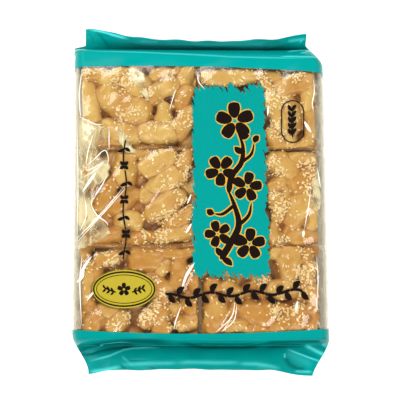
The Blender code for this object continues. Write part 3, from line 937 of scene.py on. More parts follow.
def seal_rings(end, steps):
    """Sections of a seal: two sheets pressed together, pitched, waved, and crimped near the edge.

    At a distance d from the root the middle is d cos(pitch) out and d sin(pitch) up. Across the sheet
    go its half thickness, a slow wave that grows with d, and a crimp of 0.1 sin(2 pi d / 1.1).
    """
    _, _, level = ring_shares()
    rings = []
    for distance in np.append(np.linspace(0.0, SEAL_LENGTH[end] - 0.15, steps + 1), SEAL_LENGTH[end]):
        thickness = SEAL_HALF_THICKNESS if distance < SEAL_LENGTH[end] else 0.0
        y = SEAL_ROOT_Y[end] + distance
        x = section_x(half_width("left", end, y), half_width("right", end, y), SEAL_BULGE)
        share = distance / SEAL_LENGTH[end]
        wave = 0.8 * share * np.sin(x / 13.0 + SEAL_WAVE_PHASE[end]) + 0.35 * share * waves(x, y, 17.0, 51)
        crimp = 0.1 * math.sin(2 * math.pi * distance / CRIMP_PITCH) * smooth_step((share - 0.55) / 0.05)
        lift = level * thickness + wave + crimp
        left, right = corner_shares(x)
        reach = distance * (1.0 + CORNER_STRETCH[end][0] * left + CORNER_STRETCH[end][1] * right)
        pitch = seal_pitch(end, x) * smooth_step(distance / 1.5)
        out = SEAL_ROOT_Y[end] + reach * np.cos(pitch) - lift * np.sin(pitch)
        z = SEAL_Z + reach * np.sin(pitch) + lift * np.cos(pitch)
        rings.append(np.stack([x, OUTWARD[end] * out, z], axis=1))
    return rings


def window_line(end):
    """The printed end's edge across the front, a + b x + c x^2: slightly aslant and bowed."""
    middle, slant, bow = WINDOW_EDGE[end]
    return lambda x: middle + slant * x + bow * x * x


def lines_between(first, last, count):
    """Lines evenly spaced from one to another, both included."""
    return [lambda x, t=t: first(x) * (1 - t) + last(x) * t for t in np.linspace(0.0, 1.0, count + 1)]


def tube(rings):
    """A tube through sections, facing out: (points, quads)."""
    rings = np.array(rings)
    return rings.reshape(-1, 3), grid_faces(rings.shape[0], rings.shape[1], wrap=True)


# Folds pressed into each end: half-width, height (a valley is negative), how much painted highlight
# (or, negative, painted shade) it gets, then its path; a height of 0 paints highlight alone
END_FOLDS = {
    "top": [
        (0.45, 0.35, 0.3, [
            (-82.1, 103.5), (-55.9, 103.1), (-38.2, 102.6), (-28.3, 102), (-8.5, 101.2), (11.3, 100.1),
            (21.2, 99.4), (41, 99), (60.8, 98.5), (80.6, 98.5),
        ]),
        # A broad painted highlight over the upper seal, with no fold under it
        (3.2, 0, 0.11, [(-66, 111), (-40, 110), (0, 109.6), (40, 110.2), (66, 112)]),
        (0.6, -0.3, -0.3, [
            (-51.3, 112.1), (-38.5, 111.4), (-22.8, 110.3), (2.1, 110.3), (21.4, 110.3), (35.6, 110.7),
        ]),
        (0.7, -0.3, -0.35, [(35.6, 110.7), (47, 111.8), (57, 113.3), (65.5, 114.3)]),
        (0.55, 0.4, 0.75, [(-80.1, 122.3), (-69, 118.9), (-58.7, 115.7), (-50, 113)]),
        (0.5, 0.3, 0.4, [(-66.1, 117.4), (-58.7, 115), (-52.8, 113.4)]),
        (0.9, -0.4, -0.42, [(-75.8, 119.9), (-71.4, 116.3), (-67.9, 112.1), (-65, 107.9)]),
        (0.8, -0.3, -0.24, [(-80.2, 119.8), (-78, 115.8), (-75.9, 110.1)]),
        (1, -0.25, -0.25, [(-51.5, 110.9), (-42.9, 109.8), (-34.3, 109)]),
        (0.5, -0.2, -0.25, [
            (-54.1, 108.4), (-36.1, 109), (-18.8, 109.2), (-7.2, 109), (3.6, 108.4), (15.9, 108.3),
            (28.9, 108.9),
        ]),
        (0.5, 0.2, 0.3, [(-44, 112), (-36, 111.5), (-28, 110.9)]),
        (0.4, 0.3, 0.75, [(71.6, 111.8), (72.4, 113), (73.1, 114.4)]),
        (0.8, 0.2, 0.35, [(62, 112), (69.9, 113.4), (76, 114.2)]),
        (0.8, 0.4, 0.5, [(62, 104.4), (70, 106), (78.5, 107.2)]),
        (0.6, 0.4, 0.5, [(71, 102.8), (76, 104), (80.5, 105.4)]),
        (0.5, 0.3, 0.5, [(56, 99.6), (66, 99.7), (76, 99.4), (84, 99.2)]),
        (0.9, -0.3, -0.25, [(44.5, 105.9), (57.4, 109.1), (68, 111)]),
        (1.2, -0.3, -0.3, [(44, 109.6), (50, 110.4), (58, 111)]),
    ],
    "bottom": [
        (2.5, -0.7, -1, [
            (-92, -110), (-84.5, -107.8), (-77.3, -106.4), (-71.5, -104.4), (-64.9, -102.9),
            (-57.1, -101.8), (-47.3, -101), (-38, -101), (-28, -101.5), (-16, -102.2),
        ]),
        (2, -0.4, -0.95, [
            (-88, -111.6), (-80, -109.8), (-74, -108.2), (-67.8, -106.2), (-58.9, -104.8),
            (-51.3, -103.9), (-42, -103.2),
        ]),
        (0.4, 0.3, 0.35, [(-84.5, -109), (-77, -107.2), (-67.5, -103.3), (-56.3, -101.9), (-47.6, -102.3)]),
        (0.7, 0.35, 0.4, [
            (-78.4, -115), (-63.1, -110.7), (-54, -106.8), (-47.8, -105.6), (-36, -105.1),
            (-28, -105.4),
        ]),
        (1.2, -0.4, -0.92, [
            (-20, -101.9), (-8.5, -103), (1.4, -104.8), (11.3, -104.9), (21.1, -104.9), (31, -104.9),
            (40.8, -103.9), (48, -102.3),
        ]),
        (0.6, -0.3, -0.5, [(-8.4, -102.1), (11.2, -103), (30.9, -103), (43.6, -101.4)]),
        (1.5, -0.5, -1, [
            (40, -103.4), (50.6, -101.9), (60.4, -101.6), (70.3, -101.2), (80.1, -101), (92, -101),
        ]),
        (1.4, -0.3, -0.75, [(46, -104.7), (60, -103.8), (74, -103.2)]),
        (0.4, 0.4, 0.8, [(61, -106.2), (68, -109), (75, -111.7), (81, -113.8), (86, -115.6)]),
        (1.1, 0.4, 0.65, [(73.5, -103.5), (78, -105.6), (83, -108.2), (89, -111.2)]),
        (0.5, 0.3, 0.6, [(85, -102.6), (88, -104.2), (91.5, -106.2)]),
        (0.9, -0.3, -0.3, [(70, -107), (77, -110), (84, -112.8)]),
        # A broad painted highlight over the lower right seal, with no fold under it
        (2.6, 0, 0.1, [(60, -107), (68, -112), (80, -118)]),
        (0.3, 0.3, 0.9, [(59.4, -109.2), (59.6, -110.8), (59.8, -112.8)]),
        (1.8, -0.3, -0.8, [(59, -110.5), (61, -114), (63, -117), (68, -119.5), (75, -121)]),
        (0.8, 0.2, 0.4, [(66, -121.6), (72, -122), (79, -122.3)]),
        (1.2, 0.2, 0.45, [(-78, -122.3), (-68.6, -120.8), (-60, -119.2), (-54.5, -118.2)]),
        (1.3, 0.2, 0.3, [
            (-55.8, -116.3), (-47.5, -116.6), (-34.9, -115.9), (-22.3, -115.8), (-14, -115.5),
        ]),
        (1.3, 0.2, 0.3, [
            (-18, -115.7), (-8.4, -115.1), (4.2, -115.4), (12.5, -115.6), (24, -115.5), (30, -116),
        ]),
        (1.3, 0.2, 0.3, [(26, -116.2), (39.1, -116.4), (48.8, -117.8), (57, -119.8)]),
        (0.6, -0.2, -0.35, [(-53.1, -114.1), (-44, -113.8), (-35, -113.6)]),
        (0.6, 0.25, 0.25, [(-55, -110.3), (-53.2, -112.7), (-49, -115.5), (-44.1, -118.4)]),
        (0.6, -0.3, -0.5, [(-55.5, -115.5), (-54, -117.8), (-51, -119.4)]),
        (0.6, -0.3, -0.4, [(-34.8, -118), (-29.9, -119.4)]),
    ],
}


def line_bell(x, y, path, width):
    """A bell of height 1 round a broken line, fading out towards its two ends."""
    path = np.array(path, dtype=float)
    lengths = np.hypot(*np.diff(path, axis=0).T)
    best, along = np.full(x.shape, np.inf), np.zeros(x.shape)
    for start, end, before, length in zip(path[:-1], path[1:], np.cumsum(lengths) - lengths, lengths):
        (run_x, run_y), dx, dy = end - start, x - start[0], y - start[1]
        t = np.clip((dx * run_x + dy * run_y) / length**2, 0.0, 1.0)
        away = np.hypot(dx - t * run_x, dy - t * run_y)
        nearer = away < best
        best, along = np.where(nearer, away, best), np.where(nearer, before + t * length, along)
    share = along / lengths.sum()
    return np.exp(-((best / width) ** 2)) * np.clip(6.5 * share * (1.0 - share), 0.0, 1.0)


def end_film(film, end):
    """An end of the bag: printed band, wall and seal, with folds pushed along the skin's normals.

    The channels are painted highlight and painted shade along the folds.
    """
    band = body_rings(film, lines_between(window_line(end), lambda x: OUTWARD[end] * ridge_y(end, x), 26))
    rings = band + wall_rings(film, end, 44) + seal_rings(end, 44)
    points, faces = tube(rings)
    faces = faces if end == "top" else faces[:, ::-1]
    _, _, level = ring_shares()
    front = np.tile(smooth_step(level + 0.1), len(rings))
    push, pale, shaded = np.zeros((3, len(points)))
    for half, height, shade, path in END_FOLDS[end]:
        bell = front * line_bell(points[:, 0], points[:, 1], path, half)
        push += height * bell
        pale = np.maximum(pale, shade * bell)
        shaded = np.maximum(shaded, -shade * bell)
    return points + normals_of(points, faces) * push[:, None], faces, (pale, shaded)


# Print on the film


BADGE_MIDDLE = (-52.6, -64.4)
MARKS_OVER = 0.18


def turned_down(x, y):
    """How far the film has dropped on its rounded sides: half the depth times 1 - sqrt(1 - t^2).

    t goes from 0 at the flat front's edge to nearly 1 at mid-depth.
    """
    edge = np.where(x < 0.0, body_half_width("left", y), body_half_width("right", y)) - SIDE_BULGE
    t = np.clip((np.abs(x) - edge) / SIDE_BULGE, 0.0, 0.97)
    return 0.5 * EDGE_Z * (1.0 - np.sqrt(1.0 - t * t))


def laid(film, x, y, over):
    """Points of print at x and y, a little over the film."""
    x, y = np.broadcast_arrays(x, y)
    return np.stack([x, y, film.at(x, y) - turned_down(x, y) + over], axis=-1)


def curve_through(points, count):
    """Points and unit tangents along a smooth curve through a few points (Catmull-Rom)."""
    points = np.array(points, dtype=float)
    if len(points) == 2:
        points = np.stack([points[0], points.mean(axis=0), points[1]])
    padded = np.concatenate([[2 * points[0] - points[1]], points, [2 * points[-1] - points[-2]]])
    t = np.linspace(0.0, len(points) - 1 - 1e-6, count)
    i = t.astype(int)
    u = (t - i)[:, None]
    a, b, c, d = (padded[i + k] for k in range(4))
    place = 0.5 * (2 * b + (c - a) * u + (2 * a - 5 * b + 4 * c - d) * u**2 + (3 * b - a - 3 * c + d) * u**3)
    return place, unit(np.gradient(place, axis=0))


PROFILES = {
    "leaf": lambda t: np.sin(math.pi * t) ** 0.75,
    "petal": lambda t: np.clip(t, 0, 1) ** 0.55 * np.clip(1 - t, 0, 1) ** 0.3 * 1.35,
    "brush": lambda t: np.clip(np.minimum(t / 0.08, (1 - t) / 0.5), 0, 1) ** 0.5 * (1 - 0.25 * t),
    "line": lambda t: np.clip(np.minimum(t, 1 - t) / 0.04, 0, 1) ** 0.5,
}


def brush_stroke(film, path, half_width_mm, profile, over, outset=0.0):
    """A ribbon along a path, its half-width following a profile; outset widens and lengthens it.

    At t along the path and c from -1 to 1 across it, a point is path(t) + c (half-width profile(t) +
    outset) times the unit vector across, laid on the film.
    """
    place, tangent = curve_through(path, 26)
    place[0] -= outset * tangent[0]
    place[-1] += outset * tangent[-1]
    t = np.linspace(0.0, 1.0, len(place))
    width = half_width_mm * PROFILES[profile](t) + outset
    width[[0, -1]] *= 0.35
    side = np.stack([-tangent[:, 1], tangent[:, 0]], axis=1)
    across = np.linspace(-1.0, 1.0, 5)[None, :, None]
    spots = place[:, None, :] + across * (width[:, None] * side)[:, None, :]
    points = laid(film, spots[..., 0], spots[..., 1], over)
    return points.reshape(-1, 3), grid_faces(len(place), 5)[:, ::-1]


def closed_line(film, path, half_width_mm, over):
    """A ring of even width: a closed path with a copy of it moved to each side along its normals."""
    path = np.array(path)
    tangent = unit(np.roll(path, -1, axis=0) - np.roll(path, 1, axis=0))
    side = np.stack([-tangent[:, 1], tangent[:, 0]], axis=1) * half_width_mm
    spots = np.stack([path - side, path, path + side])
    points = laid(film, spots[..., 0], spots[..., 1], over)
    return points.reshape(-1, 3), grid_faces(3, len(path), wrap=True)


def ellipse(middle, half_x, half_y, count=96):
    """Points round an ellipse."""
    angle = angles_round(count)
    return np.stack([middle[0] + half_x * np.cos(angle), middle[1] + half_y * np.sin(angle)], axis=1)


def stadium(middle, half_x, half_y, count=24):
    """Points round an upright stadium: two half circles joined by straight sides."""
    angle = np.linspace(0.0, math.pi, count)
    rise = half_y - half_x
    top = np.stack([half_x * np.cos(angle), rise + half_x * np.sin(angle)], axis=1)
    sides = np.stack([np.full(8, half_x), np.linspace(-rise, rise, 10)[1:-1]], axis=1)
    outline = np.concatenate([top, sides[::-1] * [-1, 1], -top, sides])
    return outline + np.array(middle)


def disc(film, middle, half_x, half_y, over):
    """A filled ellipse: its outline times a radius from 0 in the middle to 1."""
    radius = np.linspace(0.0, 1.0, 16)[:, None]
    angle = angles_round(72)[None, :]
    x, y = middle[0] + half_x * radius * np.cos(angle), middle[1] + half_y * radius * np.sin(angle)
    return laid(film, x, y, over).reshape(-1, 3), grid_faces(16, 72, wrap=True)[:, ::-1]


# The dry-brushed panel: its straight edges, the bristles' slant and how ragged their ends are
PANEL_TOP = 80.2
PANEL_BOTTOM = -57.6
PANEL_LEFT = -6.1
PANEL_RIGHT = (45.6, 49.4)
BRISTLE_SLANT = math.radians(26.0)
BRISTLE_WIDTH = 0.55


def tufts(draw, count):
    """How far side-by-side bristles stop short: pointed tufts of 3 to 6, some of them worn away."""
    short = np.empty(0)
    while len(short) < count:
        size = draw.integers(3, 7)
        worn = draw.uniform(-1.3, 3.2) + (draw.uniform(1.0, 3.5) if draw.uniform() < 0.18 else 0.0)
        point = np.abs(np.arange(size) - draw.uniform(0.2, 0.8) * size)
        short = np.append(short, worn + point * draw.uniform(0.7, 1.6))
    return short[:count] + draw.normal(scale=0.3, size=count)


def panel_surface(film, over):
    """A dry-brushed field: side-by-side slanted bristle marks, each cut at the field's edges and ragged.

    A bristle's start is where its line meets the left or the top edge, whichever comes later, its end
    where it meets the right or the bottom edge, whichever comes first; each falls short by its tuft.
    """
    draw = np.random.default_rng(61)
    along = np.array([math.sin(BRISTLE_SLANT), -math.cos(BRISTLE_SLANT)])
    aside = np.array([math.cos(BRISTLE_SLANT), math.sin(BRISTLE_SLANT)])
    middle = np.array([20.0, 11.0])
    offset = np.arange(-75.0, 75.0, BRISTLE_WIDTH)
    base = middle + offset[:, None] * aside
    slope = (PANEL_RIGHT[1] - PANEL_RIGHT[0]) / (PANEL_TOP - PANEL_BOTTOM)
    start_left = (PANEL_LEFT - base[:, 0]) / along[0]
    start_top = (PANEL_TOP - base[:, 1]) / along[1]
    right_x = PANEL_RIGHT[0] + slope * (PANEL_TOP - base[:, 1])
    end_right = (right_x - base[:, 0]) / (along[0] + slope * along[1])
    end_bottom = (PANEL_BOTTOM - base[:, 1]) / along[1]
    start, end = np.maximum(start_left, start_top), np.minimum(end_right, end_bottom)
    keep = end - start > 3.0
    base, start, end = base[keep], start[keep], end[keep]
    count = len(start)
    start = start + tufts(draw, count)
    end = end - tufts(draw, count)
    steps = np.arange(-92.0, 92.0, 1.6)
    reach = np.clip(steps[None, :], start[:, None], end[:, None])
    parts = []
    for share in (0.0, 1.0):
        parts.append(base[:, None, :] + share * BRISTLE_WIDTH * aside + reach[..., None] * along)
    marks = np.stack(parts, axis=1)
    points = laid(film, marks[..., 0], marks[..., 1], over).reshape(-1, 3)
    faces = copied_faces(grid_faces(2, len(steps)), count, 2 * len(steps))
    across = points[faces[:, 1]] - points[faces[:, 0]]
    return points, faces[np.linalg.norm(across, axis=1) > 1e-6][:, ::-1]


def turned(points, middle, angle, size=1.0):
    """Points about the origin, scaled, turned and moved to a middle."""
    cos, sin = math.cos(angle), math.sin(angle)
    return [
        (middle[0] + size * (x * cos - y * sin), middle[1] + size * (x * sin + y * cos)) for x, y in points
    ]


def blossom(middle, size, turn):
    """Strokes of a flower: five petals round a small open eye."""
    petal = [(1.6, 0), (6.0, 0.2), (11.0, 0)]
    angles = [turn + 2 * math.pi * k / 5 for k in range(5)]
    return [(turned(petal, middle, angle, size), 4.5 * size, "petal") for angle in angles]


def leaf_pair(middle, angle, length, half_width_mm):
    """Two leaves that part from one point."""
    return [
        (turned([(0, 0), (0.5, 0.1), (1, 0)], middle, angle + lean, length), half_width_mm, "leaf")
        for lean in (-0.55, 0.55)
    ]


def panel_branch():
    """A brushed plum branch that climbs the panel, with blossoms, buds and leaves to both sides."""
    strokes = [
        ([(14, -44), (21, -33), (27, -20), (24, -6), (19, 6)], 2.5, "brush"),
        ([(20, 2), (22, 14), (29, 24), (30, 36), (26, 47)], 2.1, "brush"),
        ([(27, -20), (34, -13), (36, -4)], 1.4, "brush"),
        ([(29, 24), (36, 30), (38, 38)], 1.2, "brush"),
        ([(24, -6), (16, -12), (10, -12)], 1.3, "brush"),
    ]
    for middle, size, turn in (
        ((24.5, 53.5), 1.22, 0.35), ((14.5, 18.5), 1.0, 0.9), ((33.0, 7.0), 0.95, 0.1),
        ((12.5, -26.0), 0.85, 0.6), ((34.5, -33.0), 1.0, 0.2),
    ):
        strokes += blossom(middle, size, turn)
    for place, angle, length in (
        ((38, 38), 1.0, 6.0), ((31, 31), 2.6, 8.0), ((10, -12), 2.6, 6.0), ((22, -31), -0.4, 8.0),
        ((17, -41), 2.4, 8.0), ((15, -43), -0.6, 9.0), ((28, 41), 0.3, 7.0), ((21, 10), 0.2, 6.0),
    ):
        strokes.append((turned([(0, 0), (0.5, 0.08), (1, 0)], place, angle, length), 2.3, "leaf"))
    return strokes


def small_garland():
    """A thin hanging stem at the left with florets and leaf pairs by turns."""
    stem = [(-52.6 + 1.1 * math.sin(y / 6.0), y) for y in np.linspace(40.0, -44.0, 29)]
    strokes = [(stem[first : first + 8], 0.5, "line") for first in range(0, 28, 7)]
    for k, (x, y) in enumerate(stem[2::4]):
        if k % 2:
            for quarter in range(4):
                angle = 0.5 * math.pi * (quarter + 0.5)
                strokes.append((turned([(0.4, 0), (2, 0), (4.0, 0)], (x, y), angle), 1.3, "leaf"))
        else:
            for angle in (-0.5, math.pi + 0.5):
                strokes.append((turned([(0.3, 0), (2.2, 0.5), (5.0, 0)], (x, y), angle), 1.2, "leaf"))
    return strokes


def running_vine():
    """A long scroll near the bottom: a waving stem with leaves to both sides."""
    stem = [(x, -68.6 + 0.035 * x + 1.6 * math.sin(x / 4.6)) for x in np.linspace(-24.0, 71.0, 34)]
    strokes = []
    for first in range(0, 33, 3):
        strokes.append((stem[first : first + 4], 0.95, "line"))
    for k, (x, y) in enumerate(stem[1::2]):
        side = 1 if k % 2 else -1
        strokes.append((turned([(0, 0), (3.6, 0.9 * side), (7.4, 0)], (x, y), side * 0.95), 2.1, "leaf"))
    return strokes


def badge_sprig():
    """The oval badge's middle: a blossom between two leafy twigs."""
    x, y = -52.8, -64.6
    strokes = blossom((x, y), 0.42, 0.3)
    for side in (-1, 1):
        twig = [(x + side * out, y + up) for out, up in ((5.5, -2), (10, -0.5), (14, 1.5))]
        strokes.append((twig, 0.5, "line"))
        for step in range(3):
            spot = (x + side * (7.0 + 2.8 * step), y - 1.4 + 1.0 * step)
            for lift in (0.9, -0.8):
                angle = lift if side > 0 else math.pi - lift
                strokes.append((turned([(0, 0), (1.6, 0.2), (3.4, 0)], spot, angle), 0.75, "leaf"))
    return strokes


def cameo_sprig():
    """Inside the stadium outline: one tall upright sprig."""
    strokes = [([(65.1, 41), (64.4, 53), (65.4, 64)], 0.6, "brush")]
    for step in range(5):
        strokes += leaf_pair((65.0, 43.5 + 4.2 * step), 0.5 * math.pi, 5.4, 1.25)
    return strokes


def strokes_surface(film, strokes, over, outset=0.0):
    """All strokes as one surface."""
    return joined([brush_stroke(film, *stroke, over, outset) for stroke in strokes])


# Inner wraps


def wrap_sheet(x, y, z):
    """A sheet from a grid of places."""
    rows, columns = x.shape
    return np.stack([x, y, z], axis=-1).reshape(-1, 3), grid_faces(rows, columns)


# Inner-wrap film that shows under the front: folds' size, seed, then its left and right edges down y
FLAPS = [
    (14.0, 73, [
        (55, -88, -82), (52, -88, -76), (50, -88, -69), (49, -88, -64), (32, -88, -63.7), (15, -88, -63.7),
        (11, -88, -67), (6, -88, -71), (0, -88, -74), (-6, -88, -76), (-12, -88, -73), (-16, -87, -68),
        (-21, -85, -64), (-26, -83, -63), (-30, -83, -69), (-36, -88, -80),
    ]),
    (5.0, 74, [(91, -52, -46), (86, -50, -40), (80, -47, -38), (73, -42, -36), (68, -38, -35)]),
    (5.0, 75, [(49, -59, -56.5), (44, -58.5, -53), (40, -57, -49), (35, -54.5, -47), (31, -52, -44)]),
    (5.0, 76, [
        (24, 81.5, 82.5), (20, 81, 84.2), (18, 80.7, 84.8), (10, 79.5, 85), (0, 78, 85), (-8, 77, 83.8),
        (-12, 79, 80.5),
    ]),
]

# Painted highlights: bright milky ribbons laid over the film where pinched edges glint; path, half-width
PAINTED_GLINT_STREAKS = [
    ([(-49, 9.4), (-66, -10), (-87, -33)], 0.28),
    ([(-51.2, 9.4), (-69, -12), (-88.5, -32)], 0.22),
    ([(-3.5, -46), (-9, -54), (-12.5, -64)], 0.9),
    ([(24.5, -72.5), (21.5, -84), (10.5, -94.5)], 0.3),
    ([(25.5, -74.5), (23.5, -86), (14, -94.5)], 0.28),
    ([(67.5, -72.5), (66.5, -80)], 0.75),
    ([(-75.5, -42), (-81, -50), (-82, -56), (-86, -60)], 1.1),
    ([(-73, -65.5), (-78.5, -72.5)], 0.5),
    ([(-17, 76.5), (-21.5, 61)], 0.3),
    ([(-1.5, 88.5), (-1, 81.5), (3.5, 76)], 0.35),
    ([(-6, 2), (-9, -5.3)], 0.6),
    ([(-5.7, -18.5), (-10, -26)], 0.8),
    ([(82, 21), (84.7, 6)], 0.4),
    ([(-84, 55), (-85.2, 72), (-83.4, 91)], 0.35),
    ([(81, -40), (82, -60), (80, -82)], 0.28),
    ([(-82, -40), (-83.5, -60), (-82, -90)], 0.3),
    ([(77.5, 5), (75.5, -8), (72.5, -24)], 0.3),
    ([(72.3, -23.5), (71.8, -28.5)], 0.9),
    ([(73, 53.5), (78, 45)], 1),
    ([(48, 64), (47.5, 57)], 0.6),
    ([(80, 84), (80.5, 74), (79, 66), (80, 60)], 0.35),
    ([(-13, -76), (-16, -84), (-18, -91)], 0.35),
    ([(-85.7, 56.8), (-80.8, 54.7), (-73, 51.1), (-68.1, 51.1)], 0.3),
    ([(-63.9, 49.7), (-63.8, 32.7)], 0.3),
    ([(-73.7, 46.9), (-78.5, 32.7), (-79.8, 22.2)], 0.35),
    ([(-79.8, 22.2), (-74.9, 25.7), (-67.3, 32.7), (-64.4, 27.8), (-65.1, 20)], 0.3),
    ([(-79.8, 22.2), (-79, 18.6), (-70, 22.9), (-65.8, 25.7)], 0.3),
    ([(-83.2, 13), (-73.4, 18.6), (-67.2, 25.7)], 0.3),
    ([(-82.4, 3.2), (-76.9, 11.6), (-72.7, 17.2)], 1),
    ([(-72.6, 0.4), (-76.1, -4.5), (-72.5, -12.2), (-65.5, -17.8), (-64.1, -20.6)], 0.35),
    ([(-75.4, -2.4), (-69.9, 6), (-65, 14.4)], 0.35),
    ([(-87.1, 54), (-85.6, 11.6), (-85.9, -33.8)], 0.25),
    ([(-84.2, -24.8), (-79.5, -12.9), (-81, 1.1)], 0.35),
]


def flap(film, fold_mm, seed, edges):
    """A crumpled sheet just under the front film, with how white it is: milky, and whiter along the fold
    ridges as painted highlight, where creased cellophane also whitens.

    From its left edge to its right one at each y, it lies 0.15 mm below the film plus the lower parts of
    large and small crumpled-foil noise, and turns down with the film at the sides.
    """
    rows = np.array(edges, dtype=float)[::-1]
    count = int(np.ptp(rows[:, 0]) / 0.5)
    y, u = np.meshgrid(np.linspace(rows[0, 0], rows[-1, 0], count), np.linspace(0.0, 1.0, 70), indexing="ij")
    left, right = (np.interp(y, rows[:, 0], rows[:, k]) for k in (1, 2))
    x = left + (right - left) * u
    x = x + 0.7 * waves(y, x, 7.0, seed + 9)
    lean = 0.35
    big = folds(x, y, fold_mm, seed, 4, 1.3, lean)
    fine = folds(x, y, 0.4 * fold_mm, seed + 40, 3, 1.3, lean)
    z = film.at(x, y) - 0.15 + 0.5 * np.minimum(big, 0.2) + 0.2 * np.minimum(fine, 0.2)
    z = z - turned_down(x, y) - 0.3 * smooth_step((np.abs(x) - FLAT_HALF_X) / 3.0)
    # edge: painted highlight along the fold ridges, where creased cellophane also whitens
    edge = np.exp(-(((big - 0.25) / 0.1) ** 2)) + np.exp(-(((fine - 0.35) / 0.12) ** 2))
    white = np.clip(0.44 + 0.42 * waves(x, y, 2.0 * fold_mm, seed + 60) + 0.4 * edge, 0.05, 0.97)
    fade = np.clip(np.minimum(u, 1.0 - u) / 0.04, 0.4, 1.0) * (1.0 - smooth_step((np.abs(x) - 84.0) / 2.5))
    points, faces = wrap_sheet(x, y, z)
    return points, faces, (white * fade).ravel()


def side_wraps(side):
    """The inner wraps' tails, a sheet just inside the bag's rounded side, with how milky it is.

    At an angle t from 0.03 pi near the front to 0.85 pi near the table, x = half-width - 9.0 + 8.1 sin t
    and z = 17.4 + 16.6 cos t, with a little rolling noise and a shallow dip at each block's end.
    """
    share, y = np.meshgrid(np.linspace(0.0, 1.0, 44), np.linspace(-97.0, 97.0, 330))
    turn = math.pi * (0.03 + 0.82 * share)
    name = "right" if side > 0 else "left"
    seam = np.exp(-(((np.abs(y) - 34.4) / 1.6) ** 2))
    out = body_half_width(name, y) - 9.0 + 8.1 * np.sin(turn) - 0.8 * seam * share
    out = out - 0.35 * share * (1.0 + waves(y, 22.0 * share, 16.0, 90 + side))
    low = smooth_step((share - 0.3) / 0.25) * smooth_step((1.0 - share) / 0.1)
    crumple = folds(y, 46.0 * share, 17.0, 110 + side, 5, 1.6, 0.3)
    out = out - 0.9 * low * (0.6 + crumple)
    z = 17.4 + 16.6 * np.cos(turn) - 0.2 * (1.0 + waves(y, 20.0 * share, 22.0, 94 + side)) - 0.3 * seam
    points, faces = wrap_sheet(side * out, y, z)
    milky = 0.12 + 0.68 * smooth_step((share - 0.08) / 0.22) - 0.3 * seam
    milky = milky + low * (0.3 * crumple - 0.18)
    return points, (faces if side < 0 else faces[:, ::-1]), np.clip(milky, 0.05, 0.95).ravel()


# Seams between the blocks: start, end, half-width and height of the wraps caught in each
SEAM_LINES = [
    ((-0.6, -98.0), (-0.6, 96.0), 2.6, 27.5),
    ((-83.0, 34.6), (83.0, 34.2), 1.6, 32.4),
    ((-83.0, -34.1), (83.0, -34.6), 1.6, 32.4),
]


def seam_wraps():
    """Doubled inner wraps pinched between neighbouring blocks: a wavy ribbon sunk in each seam.

    Across a ribbon, c from -1 to 1, its height is z0 - 1.5 (1 - c^2) with slow noise; the first ribbon
    runs up the pack between the columns, the others across it between the rows.
    """
    parts = []
    for index, (start, end, half, z_mm) in enumerate(SEAM_LINES):
        across, along = np.meshgrid(np.linspace(-1.0, 1.0, 9), np.linspace(0.0, 1.0, 240))
        upright = start[0] == end[0]
        run = start[upright] + (end[upright] - start[upright]) * along
        aside = start[1 - upright] + half * across + 0.3 * waves(run, 0.0 * run, 24.0, 97 + index)
        z = z_mm - 1.5 * (1.0 - across**2) + 0.5 * waves(run, across, 18.0, 87 + index)
        x, y = (aside, run) if upright else (run, aside)
        parts.append(wrap_sheet(x, y, z))
    return joined(parts)


def add_blocks():
    """The six blocks and their seeds; all their points come back for the film to rest on."""
    dough = fried_dough()
    blocks, seeds = [], []
    for index, name in enumerate(FRONT_STRIPS):
        points, faces, normals, channels = block_surface(name, 100 + 10 * index)
        make_piece(f"block_{name}", points, faces, dough, "sachima", channels)
        blocks.append(points)
        seeds.append(scatter_seeds(points, normals, channels[0], name, 200 + index, SEEDS_PER_BLOCK))
    points, faces = joined([part[:2] for part in seeds])
    tone = np.concatenate([part[2] for part in seeds])
    make_piece("sesame_seeds", points, faces, sesame_hull(), "sesame", (tone,))
    return np.concatenate(blocks + [points])


def add_bag(film):
    """The window and the two printed ends of the bag."""
    points, faces = tube(body_rings(film, lines_between(window_line("bottom"), window_line("top"), 200)))
    window = clear_film("clear polypropylene film", 0.015, 7.0, clear="#F3EFE1")
    bag = make_piece("clear_window_film", points, faces, window, "film_pack")
    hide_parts(NODE)
    upper = printed_film("teal printed film, upper", TEAL, TEAL_SPREAD)
    lower = printed_film("teal printed film, lower", TEAL_LOW, TEAL_LOW_SPREAD)
    for end, printed in (("top", upper), ("bottom", lower)):
        points, faces, channels = end_film(film, end)
        make_piece(f"{end}_end_film", points, faces, printed, "teal_print", channels)


def add_print(film):
    """The panel, the gold shapes and the black marks; each layer lies a little over the one below."""
    panel = panel_surface(film, 0.08)
    make_piece("front_panel", *panel, gravure_ink("teal ink", TEAL_PANEL), "teal_print")
    black, gold = gravure_ink("black ink", INK), gravure_ink("gold ink", GOLD_EDGE)
    branch = panel_branch()
    make_piece("motif_outlines", *strokes_surface(film, branch, 0.13, 0.75), gold, "gold_print")
    badge = disc(film, BADGE_MIDDLE, 22.2, 13.3, 0.1)
    make_piece("oval_badge", *badge, gravure_ink("flat gold ink", GOLD), "gold_print")
    motifs = (branch, small_garland(), running_vine(), badge_sprig(), cameo_sprig())
    prints = [strokes_surface(film, motif, MARKS_OVER) for motif in motifs]
    for path, half_width_mm in (
        (ellipse(BADGE_MIDDLE, 21.2, 11.8), 0.55),
        (ellipse(BADGE_MIDDLE, 19.2, 9.8), 0.25),
        (stadium((65.1, 53.0), 7.8, 14.8), 0.42),
    ):
        prints.append(closed_line(film, path, half_width_mm, MARKS_OVER))
    make_piece("black_marks", *joined(prints), black, "black_print")


